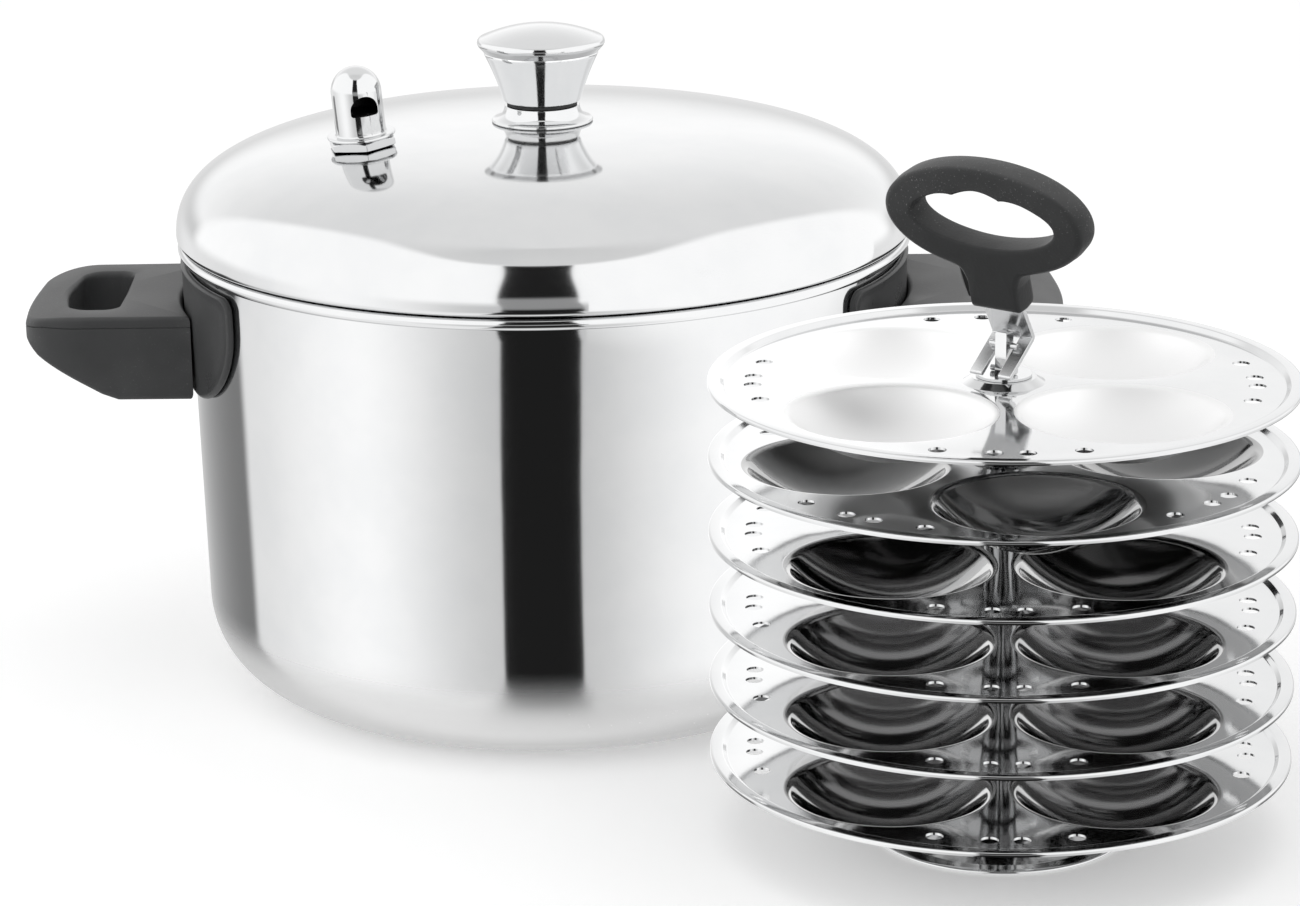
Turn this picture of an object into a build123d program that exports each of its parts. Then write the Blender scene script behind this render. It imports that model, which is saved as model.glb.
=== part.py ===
from build123d import *
from math import asin, cos, degrees, radians, sin, sqrt
import os

# Idli steamer: a covered pot, and beside it the stand of idli plates that is lowered into it.
# Millimetres, +Z up, origin at the middle of the pot's flat base.

os.makedirs("parts", exist_ok=True)

# Clearances shared by the whole steamer
cut_overrun = 2.0
seat_gap = 0.3
fixed_clearance = 0.1
turning_clearance = 0.05

# Pot, one drawn sheet with its rim rolled outwards
rim_radius = 138.0
rim_height = 172.2
rim_roll_radius = 2.2
rim_roll_share = 0.722
pot_sheet = 0.9
base_corner_radius = 35.0
wall_lean_share = 0.023

# Lid, one pressed sheet with a skirt that drops into the pot's mouth
lid_overhang = 0.4
lid_height = 41.1
lid_sheet = 0.9
lid_curl_radius = 2.4
lid_skirt_depth = 8.0
lid_skirt_bend = 1.5
lid_mouth_clearance = 1.5
shoulder_rise_share = 0.78
crown_reach_share = 0.69
dome_skin_share = 0.55

# Knob, a pressed cup with a domed cap, on a flared foot
knob_cap_radius = 24.7
knob_cap_height = 10.0
knob_cap_rise = 5.8
knob_cone_top_radius = 21.4
knob_cone_foot_radius = 14.3
knob_cone_height = 18.8
knob_lip_height = 1.6
knob_sheet = 1.0
knob_ring_radius = 13.0
knob_ring_height = 1.5
knob_foot_radius = 19.0
knob_foot_neck_radius = 14.0
knob_foot_height = 6.2
knob_foot_edge = 0.9
knob_core_radius = 6.5
knob_core_height = 12.0
knob_screw_radius = 2.5
knob_screw_head_radius = 4.8
knob_screw_head_height = 3.0
knob_washer_radius = 8.5
knob_washer_height = 1.2

# Steam vent, a domed whistle on a threaded stem through the lid
vent_place_share = 0.545
vent_bearing = -156.2
vent_mouth_bearing = -69
vent_height = 30.0
whistle_radius = 9.3
whistle_wall = 0.9
whistle_collar_radius = 12.6
whistle_collar_height = 1.3
mouth_width = 10.4
mouth_sill = 12.8
mouth_rise = 7.4
vent_nut_width = 22.8
vent_nut_height = 3.4
vent_nut_turn = 20
stem_radius = 4.9
stem_bore_radius = 3.0
stem_head_height = 1.6
stem_reach = 8.2
languid_height = 2.0
languid_slit_depth = 1.4
vent_gasket_radius = 9.0
vent_gasket_height = 1.4
lock_nut_width = 15.0
lock_nut_height = 3.6

# Side handles, moulded grips on a guard and a welded bracket
grip_drop = 22.4
grip_height = 31.8
grip_reach = 61.5
grip_half_width = 42.5
grip_nose_drop = 3.8
grip_nose_height = 7.0
grip_toe_rise = 15.5
grip_nose_share = 0.03
grip_side_share = 0.40
grip_corner_share = 0.66
grip_flat_share = 0.35
grip_toe_share = 0.14
grip_heel_share = 0.55
grip_edge_radius = 2.2
grip_gap = 0.5
slot_inner_reach = 25.0
slot_outer_reach = 47.0
slot_side_reach = 43.0
slot_half_width = 28.0
slot_corner_radius = 6.0
guard_sheet = 2.6
guard_drop = 7.4
guard_height = 45.0
guard_half_width = 77.0
guard_upper_corner_radius = 5.0
guard_lower_corner_radius = 33.0
bracket_sheet = 1.4
bracket_half_width = 20.0
bracket_half_height = 10.0
bracket_corner_radius = 3.0
bracket_drop = 15.8
lug_half_width = 9.0
lug_half_height = 5.0
lug_reach = 18.0
handle_screw_radius = 2.5
handle_screw_head_radius = 4.5
handle_screw_head_height = 3.0
handle_screw_recess = 4.0
handle_screw_reach = 11.5

# Stand, plates threaded on one rod with a sleeve under each
stand_x = 158.0
stand_y = -180.5
plate_count = 6
plate_radius = 99.85
stand_headroom = 10.45
lowest_plate_level = 30.0
plate_sheet = 0.8
plate_lip_rise = 1.8
plate_lip_width = 4.2
plate_lip_slope = 1.6
plate_lip_turn = 1.5
plate_lip_bend = 0.85
hub_radius = 14.0
hub_slope = 3.0
hub_rise = 2.0
cup_count = 4
cup_margin = 10.25
cup_gap = 3.8
cup_depth = 14.5
cup_edge_radius = 4.5
steam_hole_radius = 3.0
steam_hole_margin = 15.35
steam_hole_angles = (-16.0, -3.6, 3.6, 16.0)
plate_bearing = 266.6
turned_plate = 2
turned_plate_bearing = 232.0
rod_radius = 3.2
rod_foot_reach = 1.0
rod_tip_width = 4.4
rod_tip_rise = 14.3
sleeve_radius = 6.5
foot_radius = 45.0
foot_sheet = 1.0
foot_rim_width = 5.5
foot_hub_height = 9.0
foot_hub_radius = 14.0
foot_bend = 2.0
foot_nut_width = 10.0
foot_nut_height = 5.0
top_washer_radius = 9.5
top_washer_height = 1.0
pin_radius = 1.1
retaining_pin_length = 10.0
lifting_pin_length = 11.0

# Lifter, a moulded loop on a forked strap that hooks under the stand's upper pin
lifter_turn = -38.0
lifter_lean = 16.7
strap_sheet = 1.6
strap_width = 16.0
strap_bend = 1.2
strap_tongue = 9.0
fork_gap = 6.4
knee_back = 6.0
knee_rise = 11.9
foot_forward = 8.0
neck_rise = 23.5
neck_forward = 0.7
neck_width = 19.0
neck_flare = 17.0
loop_half_width = 39.0
loop_half_height = 20.0
loop_rise = 34.1
loop_thickness = 11.0
hole_half_width = 27.5
hole_half_height = 9.2
loop_edge_radius = 2.4

# Heights and radii that follow from the pot and its lid
roll_height = rim_height - rim_roll_radius
wall_top_radius = rim_radius - 2 * rim_roll_radius + pot_sheet
mouth_radius = wall_top_radius - pot_sheet
lid_radius = rim_radius + lid_overhang
lid_top = rim_height + lid_height
lid_hem_height = rim_height + seat_gap
lid_equator_height = lid_hem_height + lid_curl_radius
lid_rise = lid_top - lid_equator_height
lid_skirt_radius = mouth_radius - lid_mouth_clearance
knob_hole_radius = knob_screw_radius + fixed_clearance


def wall_radius(height):
    """Outside radius of the pot's wall, which leans in a little towards the base."""
    return wall_top_radius - wall_lean_share * (roll_height - height)


def save(piece, name):
    """Labels a finished piece and writes it under the same name."""
    piece.part.label = name
    export_step(piece.part, f"parts/{name}.step")


def ring(inner, outer, low, high):
    """A plain ring about the pot's axis, between two heights."""
    with BuildPart() as piece:
        with BuildSketch(Plane.XY.offset(low)):
            Circle(outer)
            Circle(inner, mode=Mode.SUBTRACT)
        extrude(amount=high - low)
    return piece


# Pot shell
with BuildPart() as pot_shell:
    with BuildSketch(Plane.XZ):
        with BuildLine():
            wall = FilletPolyline(
                (0, pot_sheet),
                (wall_radius(0) - pot_sheet, pot_sheet),
                (mouth_radius, roll_height),
                radius=base_corner_radius - pot_sheet,
            )
            JernArc(wall @ 1, wall % 1, rim_roll_radius, -360 * rim_roll_share)
            offset(amount=pot_sheet, side=Side.RIGHT)
        make_face()
    revolve(axis=Axis.Z)
save(pot_shell, "pot_shell")


# Lid's outer profile from its widest point up to the knob's hole, and the vent's seat on it
def dome_curve(depth):
    """The dome's profile at a depth under its outer surface."""
    pull = depth * dome_skin_share
    return Bezier(
        (lid_radius - depth, lid_equator_height),
        (lid_radius - depth, lid_equator_height + lid_rise * shoulder_rise_share - pull),
        (lid_radius * crown_reach_share - pull, lid_top - depth),
        (knob_hole_radius, lid_top - depth),
    )


dome_profile = dome_curve(0)
vent_foot = dome_profile @ vent_place_share
vent_slope = dome_profile % vent_place_share
vent_outward = Vector(cos(radians(vent_bearing)), sin(radians(vent_bearing)), 0)
vent_plane = Plane(
    origin=vent_outward * vent_foot.X + Vector(0, 0, vent_foot.Y),
    x_dir=(cos(radians(vent_mouth_bearing)), sin(radians(vent_mouth_bearing)), 0),
    z_dir=vent_outward * vent_slope.Y - Vector(0, 0, vent_slope.X),
)
vent_section = Plane(origin=vent_plane.origin, x_dir=vent_plane.x_dir, z_dir=-vent_plane.y_dir)
vent_mouth_plane = Plane(origin=vent_plane.origin, x_dir=vent_plane.y_dir, z_dir=vent_plane.x_dir)
vent_axis = Axis(vent_plane.origin, vent_plane.z_dir)


# Lid shell: skirt, hem on the rolled rim, curl, and dome
with BuildPart() as lid_shell:
    with BuildSketch(Plane.XZ):
        with BuildLine():
            skirt = FilletPolyline(
                (lid_skirt_radius, lid_hem_height - lid_skirt_depth),
                (lid_skirt_radius, lid_hem_height),
                (lid_radius - lid_curl_radius, lid_hem_height),
                radius=lid_skirt_bend,
            )
            JernArc(skirt @ 1, skirt % 1, lid_curl_radius, 90)
            offset(amount=lid_sheet, side=Side.LEFT)
        make_face()
        with BuildLine():
            add(dome_profile)
            add(dome_curve(lid_sheet))
            Line(dome_profile @ 0, dome_curve(lid_sheet) @ 0)
            Line(dome_profile @ 1, dome_curve(lid_sheet) @ 1)
        make_face()
    revolve(axis=Axis.Z)
    with BuildSketch(vent_plane):
        Circle(stem_radius + fixed_clearance)
    extrude(amount=lid_sheet + cut_overrun, both=True, mode=Mode.SUBTRACT)
save(lid_shell, "lid_shell")


# Knob: flared foot, dark ring, cup, cap, and the core that the screw draws down
knob_foot_top = lid_top + knob_foot_height
cone_foot = knob_foot_top + knob_ring_height
cone_top = cone_foot + knob_cone_height
cap_rim_height = cone_top + knob_cap_height - knob_cap_rise
cap_top = cone_top + knob_cap_height

with BuildPart() as knob_foot:
    with BuildSketch(Plane.XZ):
        with BuildLine():
            Line((knob_hole_radius, lid_top), (knob_foot_radius, lid_top))
            Line((knob_foot_radius, lid_top), (knob_foot_radius, lid_top + knob_foot_edge))
            TangentArc(
                (knob_foot_neck_radius, knob_foot_top),
                (knob_foot_radius, lid_top + knob_foot_edge),
                tangent=(0, -1),
            )
            Line((knob_foot_neck_radius, knob_foot_top), (knob_hole_radius, knob_foot_top))
            Line((knob_hole_radius, knob_foot_top), (knob_hole_radius, lid_top))
        make_face()
    revolve(axis=Axis.Z)
save(knob_foot, "knob_foot")

knob_ring = ring(knob_hole_radius, knob_ring_radius, knob_foot_top, cone_foot)
save(knob_ring, "knob_ring")

with BuildPart() as knob_cup:
    with BuildSketch(Plane.XZ):
        with BuildLine():
            FilletPolyline(
                (knob_hole_radius, cone_foot),
                (knob_cone_foot_radius, cone_foot),
                (knob_cone_top_radius, cone_top - knob_lip_height),
                (knob_cone_top_radius, cone_top),
                radius=knob_sheet + fixed_clearance,
            )
            offset(amount=knob_sheet, side=Side.LEFT)
        make_face()
    revolve(axis=Axis.Z)
save(knob_cup, "knob_cup")

with BuildPart() as knob_cap:
    with BuildSketch(Plane.XZ):
        with BuildLine():
            flare = Line((knob_cone_top_radius, cone_top), (knob_cap_radius, cap_rim_height))
            dome = ThreePointArc(
                (-knob_cap_radius, cap_rim_height), (0, cap_top), (knob_cap_radius, cap_rim_height)
            )
            Line((0, cap_top), (0, cone_top))
            Line((0, cone_top), (knob_cone_top_radius, cone_top))
            split(bisect_by=Plane.YZ, keep=Keep.TOP)
        make_face()
    revolve(axis=Axis.Z)
    fillet(knob_cap.edges().group_by(Axis.Z)[-2], radius=knob_sheet)
    with BuildSketch(Plane.XY.offset(cone_top)):
        Circle(knob_cone_top_radius - knob_sheet)
    extrude(amount=knob_cap_height - knob_cap_rise, mode=Mode.SUBTRACT)
save(knob_cap, "knob_cap")

with BuildPart() as knob_core:
    with BuildSketch(Plane.XY.offset(cone_foot + knob_sheet)):
        Circle(knob_core_radius)
    extrude(amount=knob_core_height)
    with BuildSketch(Plane.XY.offset(cone_foot + knob_sheet)):
        Circle(knob_hole_radius)
    extrude(amount=knob_core_height - knob_sheet, mode=Mode.SUBTRACT)
save(knob_core, "knob_core")

lid_underside = lid_top - lid_sheet - turning_clearance
washer_bottom = lid_underside - knob_washer_height
knob_washer = ring(knob_hole_radius, knob_washer_radius, washer_bottom, lid_underside)
save(knob_washer, "knob_washer")

with BuildPart() as knob_screw:
    with BuildSketch(Plane.XY.offset(washer_bottom)):
        Circle(knob_screw_head_radius)
    extrude(amount=-knob_screw_head_height)
    fillet(knob_screw.edges().group_by(Axis.Z)[0], radius=knob_screw_head_height / 2)
    with BuildSketch(Plane.XY.offset(washer_bottom)):
        Circle(knob_screw_radius)
    extrude(amount=cone_foot + knob_core_height - knob_sheet - washer_bottom)
    with BuildSketch(Plane.XY.offset(washer_bottom - knob_screw_head_height)):
        Rectangle(2 * knob_screw_head_radius, knob_sheet)
    extrude(amount=knob_sheet, mode=Mode.SUBTRACT)
save(knob_screw, "knob_screw")


# Steam vent: nut, whistle, stem, languid, gasket and lock nut, along the vent's own axis
collar_foot = vent_nut_height + seat_gap
collar_top = collar_foot + whistle_collar_height
whistle_bore_radius = whistle_radius - whistle_wall
lid_back = -lid_sheet - seat_gap


def vent_nut_blank(width, low, height, bore):
    """A hexagonal nut on the vent's axis."""
    with BuildPart() as piece:
        with BuildSketch(vent_plane.offset(low)):
            RegularPolygon(radius=width / 2, side_count=6, major_radius=False, rotation=vent_nut_turn)
            Circle(bore, mode=Mode.SUBTRACT)
        extrude(amount=height)
    return piece


vent_nut = vent_nut_blank(vent_nut_width, seat_gap, vent_nut_height, stem_radius + fixed_clearance)
save(vent_nut, "vent_nut")

with BuildPart() as vent_whistle:
    with BuildSketch(vent_section):
        with BuildLine():
            Line((whistle_radius, collar_foot), (whistle_collar_radius, collar_foot))
            Line((whistle_collar_radius, collar_foot), (whistle_collar_radius, collar_top))
            Line((whistle_collar_radius, collar_top), (whistle_radius, collar_top))
            Line((whistle_radius, collar_top), (whistle_radius, vent_height - whistle_radius))
            JernArc((whistle_radius, vent_height - whistle_radius), (0, 1), whistle_radius, 90)
            Line((0, vent_height), (0, vent_height - whistle_wall))
            JernArc((0, vent_height - whistle_wall), (1, 0), whistle_bore_radius, -90)
            Line((whistle_bore_radius, vent_height - whistle_radius), (whistle_bore_radius, collar_foot))
            Line((whistle_bore_radius, collar_foot), (whistle_radius, collar_foot))
        make_face()
    revolve(axis=vent_axis)
    with BuildSketch(vent_mouth_plane) as mouth:
        with BuildLine():
            Line((-mouth_width / 2, mouth_sill), (mouth_width / 2, mouth_sill))
            Line((mouth_width / 2, mouth_sill), (mouth_width / 2, mouth_sill + mouth_rise - mouth_width / 2))
            JernArc(
                (mouth_width / 2, mouth_sill + mouth_rise - mouth_width / 2), (0, 1), mouth_width / 2, 180
            )
            Line((-mouth_width / 2, mouth_sill + mouth_rise - mouth_width / 2), (-mouth_width / 2, mouth_sill))
        make_face()
    extrude(amount=whistle_radius + cut_overrun, mode=Mode.SUBTRACT)
save(vent_whistle, "vent_whistle")

with BuildPart() as vent_stem:
    with BuildSketch(vent_plane.offset(collar_foot)):
        Circle(whistle_bore_radius - fixed_clearance)
    extrude(amount=stem_head_height)
    with BuildSketch(vent_plane.offset(collar_foot)):
        Circle(stem_radius)
    extrude(amount=-collar_foot - stem_reach)
    with BuildSketch(vent_plane.offset(collar_foot + stem_head_height)):
        Circle(stem_bore_radius)
    extrude(amount=-collar_foot - stem_head_height - stem_reach, mode=Mode.SUBTRACT)
save(vent_stem, "vent_stem")

with BuildPart() as vent_languid:
    with BuildSketch(vent_plane.offset(mouth_sill - languid_height)):
        Circle(whistle_bore_radius - fixed_clearance)
    extrude(amount=languid_height)
    with BuildSketch(vent_plane.offset(mouth_sill - languid_height)):
        with Locations((whistle_bore_radius - languid_slit_depth / 2, 0)):
            Rectangle(languid_slit_depth, mouth_width)
    extrude(amount=languid_height, mode=Mode.SUBTRACT)
save(vent_languid, "vent_languid")

gasket_bottom = lid_back - vent_gasket_height
with BuildPart() as vent_gasket:
    with BuildSketch(vent_plane.offset(gasket_bottom)):
        Circle(vent_gasket_radius)
        Circle(stem_radius + fixed_clearance, mode=Mode.SUBTRACT)
    extrude(amount=vent_gasket_height)
save(vent_gasket, "vent_gasket")

vent_lock_nut = vent_nut_blank(
    lock_nut_width, gasket_bottom - lock_nut_height, lock_nut_height, stem_radius + fixed_clearance
)
save(vent_lock_nut, "vent_lock_nut")


# Side handles. Each piece is made at the right of the pot and mirrored for the left.
grip_top = rim_height - grip_drop
grip_bottom = grip_top - grip_height
grip_nose_top = grip_top - grip_nose_drop
grip_nose_bottom = grip_nose_top - grip_nose_height
grip_toe_level = grip_bottom + grip_toe_rise
guard_top = rim_height - guard_drop
bracket_level = grip_top - bracket_drop
bracket_outside = seat_gap + bracket_sheet
guard_outside = seat_gap + guard_sheet
grip_root = guard_outside + grip_gap
nose_x = wall_radius(grip_top) + grip_reach


def wall_form(gap, low, high):
    """A leaning disc whose edge follows the pot's wall at a distance."""
    with BuildPart() as piece:
        with BuildSketch(Plane.XZ):
            with BuildLine():
                Polyline((0, low), (wall_radius(low) + gap, low), (wall_radius(high) + gap, high), (0, high), close=True)
            make_face()
        revolve(axis=Axis.Z)
    return piece


def wall_plate(half_width, low, high, lower_corner, upper_corner, inner_gap, outer_gap):
    """A curved plate on the right of the pot's wall, between two distances from it."""
    with BuildPart() as piece:
        add(wall_form(outer_gap, low, high).part)
        with BuildSketch(Plane.YZ):
            with Locations((0, (low + high) / 2)):
                Rectangle(2 * half_width, high - low)
            fillet(vertices().group_by(Axis.Y)[0], radius=lower_corner)
            fillet(vertices().group_by(Axis.Y)[-1], radius=upper_corner)
        extrude(amount=rim_radius + outer_gap, mode=Mode.INTERSECT)
        add(wall_form(inner_gap, low - cut_overrun, high + cut_overrun).part, mode=Mode.SUBTRACT)
    return piece


def handle_window(gap):
    """The opening in the guard and the grip's root that the bracket's lug passes through."""
    with BuildPart() as piece:
        with BuildSketch(Plane.YZ):
            with Locations((0, bracket_level)):
                Rectangle(2 * (lug_half_width + gap), 2 * (lug_half_height + gap))
        extrude(amount=wall_radius(bracket_level) + guard_outside + lug_reach + gap)
    return piece


def bracket_plate(growth):
    """The bracket's curved foot, welded to the wall, grown on its edges and its outside."""
    return wall_plate(
        bracket_half_width + growth,
        bracket_level - bracket_half_height - growth,
        bracket_level + bracket_half_height + growth,
        bracket_corner_radius,
        bracket_corner_radius,
        fixed_clearance - growth,
        bracket_outside + growth,
    )


with BuildPart() as right_handle_guard:
    add(
        wall_plate(
            guard_half_width,
            guard_top - guard_height,
            guard_top,
            guard_lower_corner_radius,
            guard_upper_corner_radius,
            seat_gap,
            guard_outside,
        ).part
    )
    add(bracket_plate(fixed_clearance).part, mode=Mode.SUBTRACT)
    add(handle_window(fixed_clearance).part, mode=Mode.SUBTRACT)
save(right_handle_guard, "right_handle_guard")

with BuildPart() as right_handle_bracket:
    add(bracket_plate(0).part)
    with BuildSketch(Plane.YZ.offset(wall_radius(bracket_level) + bracket_outside - bracket_sheet / 2)):
        with Locations((0, bracket_level)):
            Rectangle(2 * lug_half_width, 2 * lug_half_height)
    extrude(amount=guard_outside + lug_reach - bracket_outside + bracket_sheet / 2)
    with BuildSketch(Plane.XY.offset(bracket_level - lug_half_height)):
        with Locations((wall_radius(bracket_level) + guard_outside + handle_screw_reach, 0)):
            Circle(handle_screw_radius + fixed_clearance)
    extrude(amount=2 * lug_half_height, mode=Mode.SUBTRACT)
save(right_handle_bracket, "right_handle_bracket")

side_x = nose_x - grip_reach * grip_side_share
corner_x = nose_x - grip_reach * grip_nose_share
corner_y = grip_half_width * grip_corner_share
flat_x = nose_x - grip_reach * grip_flat_share
toe_x = nose_x - grip_reach * grip_toe_share
heel_x = nose_x - grip_reach * grip_heel_share
screw_x = wall_radius(bracket_level) + guard_outside + handle_screw_reach
slot_root_x = nose_x - grip_reach + slot_inner_reach
slot_nose_x = nose_x - grip_reach + slot_outer_reach
slot_side_x = nose_x - grip_reach + slot_side_reach

with BuildPart() as right_handle_grip:
    with BuildSketch(Plane.XY.offset(grip_bottom)):
        with BuildLine():
            near = Line((0, -grip_half_width), (side_x, -grip_half_width))
            near_corner = TangentArc(near @ 1, (corner_x, -corner_y), tangent=near % 1)
            nose = TangentArc(near_corner @ 1, (corner_x, corner_y), tangent=near_corner % 1)
            far_corner = TangentArc(nose @ 1, (side_x, grip_half_width), tangent=nose % 1)
            Line(far_corner @ 1, (0, grip_half_width))
            Line((0, grip_half_width), (0, -grip_half_width))
        make_face()
    extrude(amount=grip_top - grip_bottom)
    with BuildSketch(Plane.XZ):
        with BuildLine():
            crest = Line((0, grip_top), (flat_x, grip_top))
            brow = TangentArc(crest @ 1, (nose_x + cut_overrun, grip_nose_top), tangent=crest % 1)
            Polyline(
                brow @ 1,
                (nose_x + cut_overrun, grip_nose_bottom),
                (toe_x, grip_toe_level),
                (heel_x, grip_bottom),
                (0, grip_bottom),
                (0, grip_top),
            )
        make_face()
    extrude(amount=grip_half_width + cut_overrun, both=True, mode=Mode.INTERSECT)
    fillet(right_handle_grip.faces().sort_by(Axis.Z)[-1].edges(), radius=grip_edge_radius)
    add(wall_form(grip_root, grip_bottom - cut_overrun, rim_height).part, mode=Mode.SUBTRACT)
    with BuildSketch(Plane.XY.offset(grip_bottom)):
        with BuildLine():
            ThreePointArc(
                (slot_side_x, -slot_half_width), (slot_nose_x, 0), (slot_side_x, slot_half_width)
            )
            Polyline(
                (slot_side_x, slot_half_width),
                (slot_root_x, slot_half_width),
                (slot_root_x, -slot_half_width),
                (slot_side_x, -slot_half_width),
            )
        make_face()
        fillet(vertices(), radius=slot_corner_radius)
    extrude(amount=grip_top - grip_bottom, mode=Mode.SUBTRACT)
    add(handle_window(fixed_clearance).part, mode=Mode.SUBTRACT)
    with BuildSketch(Plane.XY.offset(grip_bottom)):
        with Locations((screw_x, 0)):
            Circle(handle_screw_radius + fixed_clearance)
    extrude(amount=bracket_level - grip_bottom, mode=Mode.SUBTRACT)
    with BuildSketch(Plane.XY.offset(grip_bottom)):
        with Locations((screw_x, 0)):
            Circle(handle_screw_head_radius + fixed_clearance)
    extrude(amount=handle_screw_recess, mode=Mode.SUBTRACT)
save(right_handle_grip, "right_handle_grip")

with BuildPart() as handle_screws:
    for side in (1, -1):
        with BuildSketch(Plane.XY.offset(grip_bottom + handle_screw_recess)):
            with Locations((side * screw_x, 0)):
                Circle(handle_screw_radius)
        extrude(amount=bracket_level + lug_half_height - grip_bottom - handle_screw_recess)
        with BuildSketch(Plane.XY.offset(grip_bottom + handle_screw_recess)):
            with Locations((side * screw_x, 0)):
                Circle(handle_screw_head_radius)
        extrude(amount=-handle_screw_head_height)
save(handle_screws, "handle_screws")

for right_piece, left_name in (
    (right_handle_guard, "left_handle_guard"),
    (right_handle_bracket, "left_handle_bracket"),
    (right_handle_grip, "left_handle_grip"),
):
    with BuildPart() as left_piece:
        mirror(right_piece.part, about=Plane.YZ)
    save(left_piece, left_name)


# Stand: levels of the plates' lips, from the top one down
top_plate_level = rim_height - stand_headroom
plate_spacing = (top_plate_level - lowest_plate_level) / (plate_count - 1)
plate_levels = [top_plate_level - place * plate_spacing for place in range(plate_count)]


def hub_top(level):
    """Height of the top of the raised hub of a plate whose lip is at a level."""
    return level - plate_lip_rise + hub_rise


stand_section = Plane(origin=(stand_x, stand_y, 0), x_dir=(1, 0, 0), z_dir=(0, -1, 0))
stand_plane = Plane(origin=(stand_x, stand_y, 0))
stand_axis = Axis((stand_x, stand_y, 0), (0, 0, 1))
hub_bore = rod_radius + turning_clearance
washer_bottom_level = hub_top(top_plate_level) + turning_clearance
washer_top = washer_bottom_level + top_washer_height
retaining_pin_level = washer_top + fixed_clearance + pin_radius

with BuildPart() as stand_foot:
    with BuildSketch(stand_section):
        with BuildLine():
            FilletPolyline(
                (foot_radius, 0),
                (foot_radius - foot_rim_width, 0),
                (foot_hub_radius, foot_hub_height),
                (hub_bore, foot_hub_height),
                radius=foot_bend,
            )
            offset(amount=foot_sheet, side=Side.RIGHT)
        make_face()
    revolve(axis=stand_axis)
save(stand_foot, "stand_foot")

foot_hub_top = foot_hub_height + foot_sheet
with BuildPart() as stand_foot_nut:
    with BuildSketch(stand_plane.offset(foot_hub_height - foot_nut_height)):
        RegularPolygon(radius=foot_nut_width / 2, side_count=6, major_radius=False)
        Circle(rod_radius + fixed_clearance, mode=Mode.SUBTRACT)
    extrude(amount=foot_nut_height)
save(stand_foot_nut, "stand_foot_nut")

lifter_plane = Plane(
    origin=(stand_x, stand_y, 0),
    x_dir=(cos(radians(lifter_turn)), sin(radians(lifter_turn)), 0),
    z_dir=(0, 0, 1),
)
pin_section = Plane(origin=lifter_plane.origin, x_dir=lifter_plane.y_dir, z_dir=lifter_plane.x_dir)
foot_level = washer_top + strap_sheet / 2 + seat_gap
knee_level = washer_top + knee_rise
neck_level = washer_top + neck_rise
strap_slope = (knee_level - foot_level) / (knee_back + foot_forward)
strap_height_on_axis = knee_level - strap_slope * knee_back
lifting_pin_level = strap_height_on_axis + strap_sheet * sqrt(1 + strap_slope**2) / 2 + seat_gap + pin_radius

with BuildPart() as stand_rod:
    with BuildSketch(stand_plane.offset(rod_foot_reach)):
        Circle(rod_radius)
    extrude(amount=washer_top - rod_foot_reach)
    with BuildSketch(lifter_plane.offset(washer_top)):
        Rectangle(rod_tip_width, rod_tip_width)
    extrude(amount=rod_tip_rise)
    chamfer(stand_rod.edges().group_by(Axis.Z)[-1], length=pin_radius / 2)
    with BuildSketch(pin_section):
        with Locations((0, retaining_pin_level), (0, lifting_pin_level)):
            Circle(pin_radius + turning_clearance)
    extrude(amount=rod_tip_width, both=True, mode=Mode.SUBTRACT)
save(stand_rod, "stand_rod")


def cross_pin(level, length):
    """A small pin across the rod's tip, along the lifter's width."""
    with BuildPart() as piece:
        with BuildSketch(pin_section):
            with Locations((0, level)):
                Circle(pin_radius)
        extrude(amount=length / 2, both=True)
    return piece


retaining_pin = cross_pin(retaining_pin_level, retaining_pin_length)
save(retaining_pin, "retaining_pin")
lifting_pin = cross_pin(lifting_pin_level, lifting_pin_length)
save(lifting_pin, "lifting_pin")

with BuildPart() as top_washer:
    with BuildSketch(stand_plane.offset(washer_bottom_level)):
        Circle(top_washer_radius)
        Circle(rod_radius + turning_clearance, mode=Mode.SUBTRACT)
    extrude(amount=top_washer_height)
save(top_washer, "top_washer")

with BuildPart() as spacer_sleeves:
    sleeve_bottom = foot_hub_top
    for level in reversed(plate_levels):
        with BuildSketch(stand_plane.offset(sleeve_bottom)):
            Circle(sleeve_radius)
            Circle(rod_radius + turning_clearance, mode=Mode.SUBTRACT)
        extrude(amount=hub_top(level) - plate_sheet - turning_clearance - sleeve_bottom)
        sleeve_bottom = hub_top(level) + turning_clearance
save(spacer_sleeves, "spacer_sleeves")


# Cup of an idli plate: a ball-shaped bowl that flares into the flat of the plate. The cups are as wide
# as the plate's margin and the gap between two cups allow.
cup_reach = plate_radius - cup_margin
cup_circle_radius = (2 * cup_reach + cup_gap) / (2 + 2 * sin(radians(180 / cup_count)))
cup_radius = cup_reach - cup_circle_radius
steam_circle_radius = plate_radius - steam_hole_margin
bowl_and_edge = (cup_radius**2 + cup_depth**2) / (2 * cup_depth)
bowl_radius = bowl_and_edge - cup_edge_radius


def cup_form(skin):
    """The bowl filled solid, its surface moved out by a skin's thickness."""
    reach = (bowl_radius + skin) / bowl_and_edge
    turn = degrees(asin(cup_radius / bowl_and_edge))
    with BuildPart() as piece:
        with BuildSketch(Plane.XZ):
            with BuildLine():
                bowl = JernArc((0, -cup_depth - skin), (1, 0), bowl_radius + skin, turn)
                edge = JernArc(bowl @ 1, bowl % 1, cup_edge_radius - skin, -turn)
                Line(edge @ 1, (cup_radius, 0))
                Line((cup_radius, 0), (0, 0))
                Line((0, 0), (0, -cup_depth - skin))
            make_face()
        revolve(axis=Axis.Z)
    return piece


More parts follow.
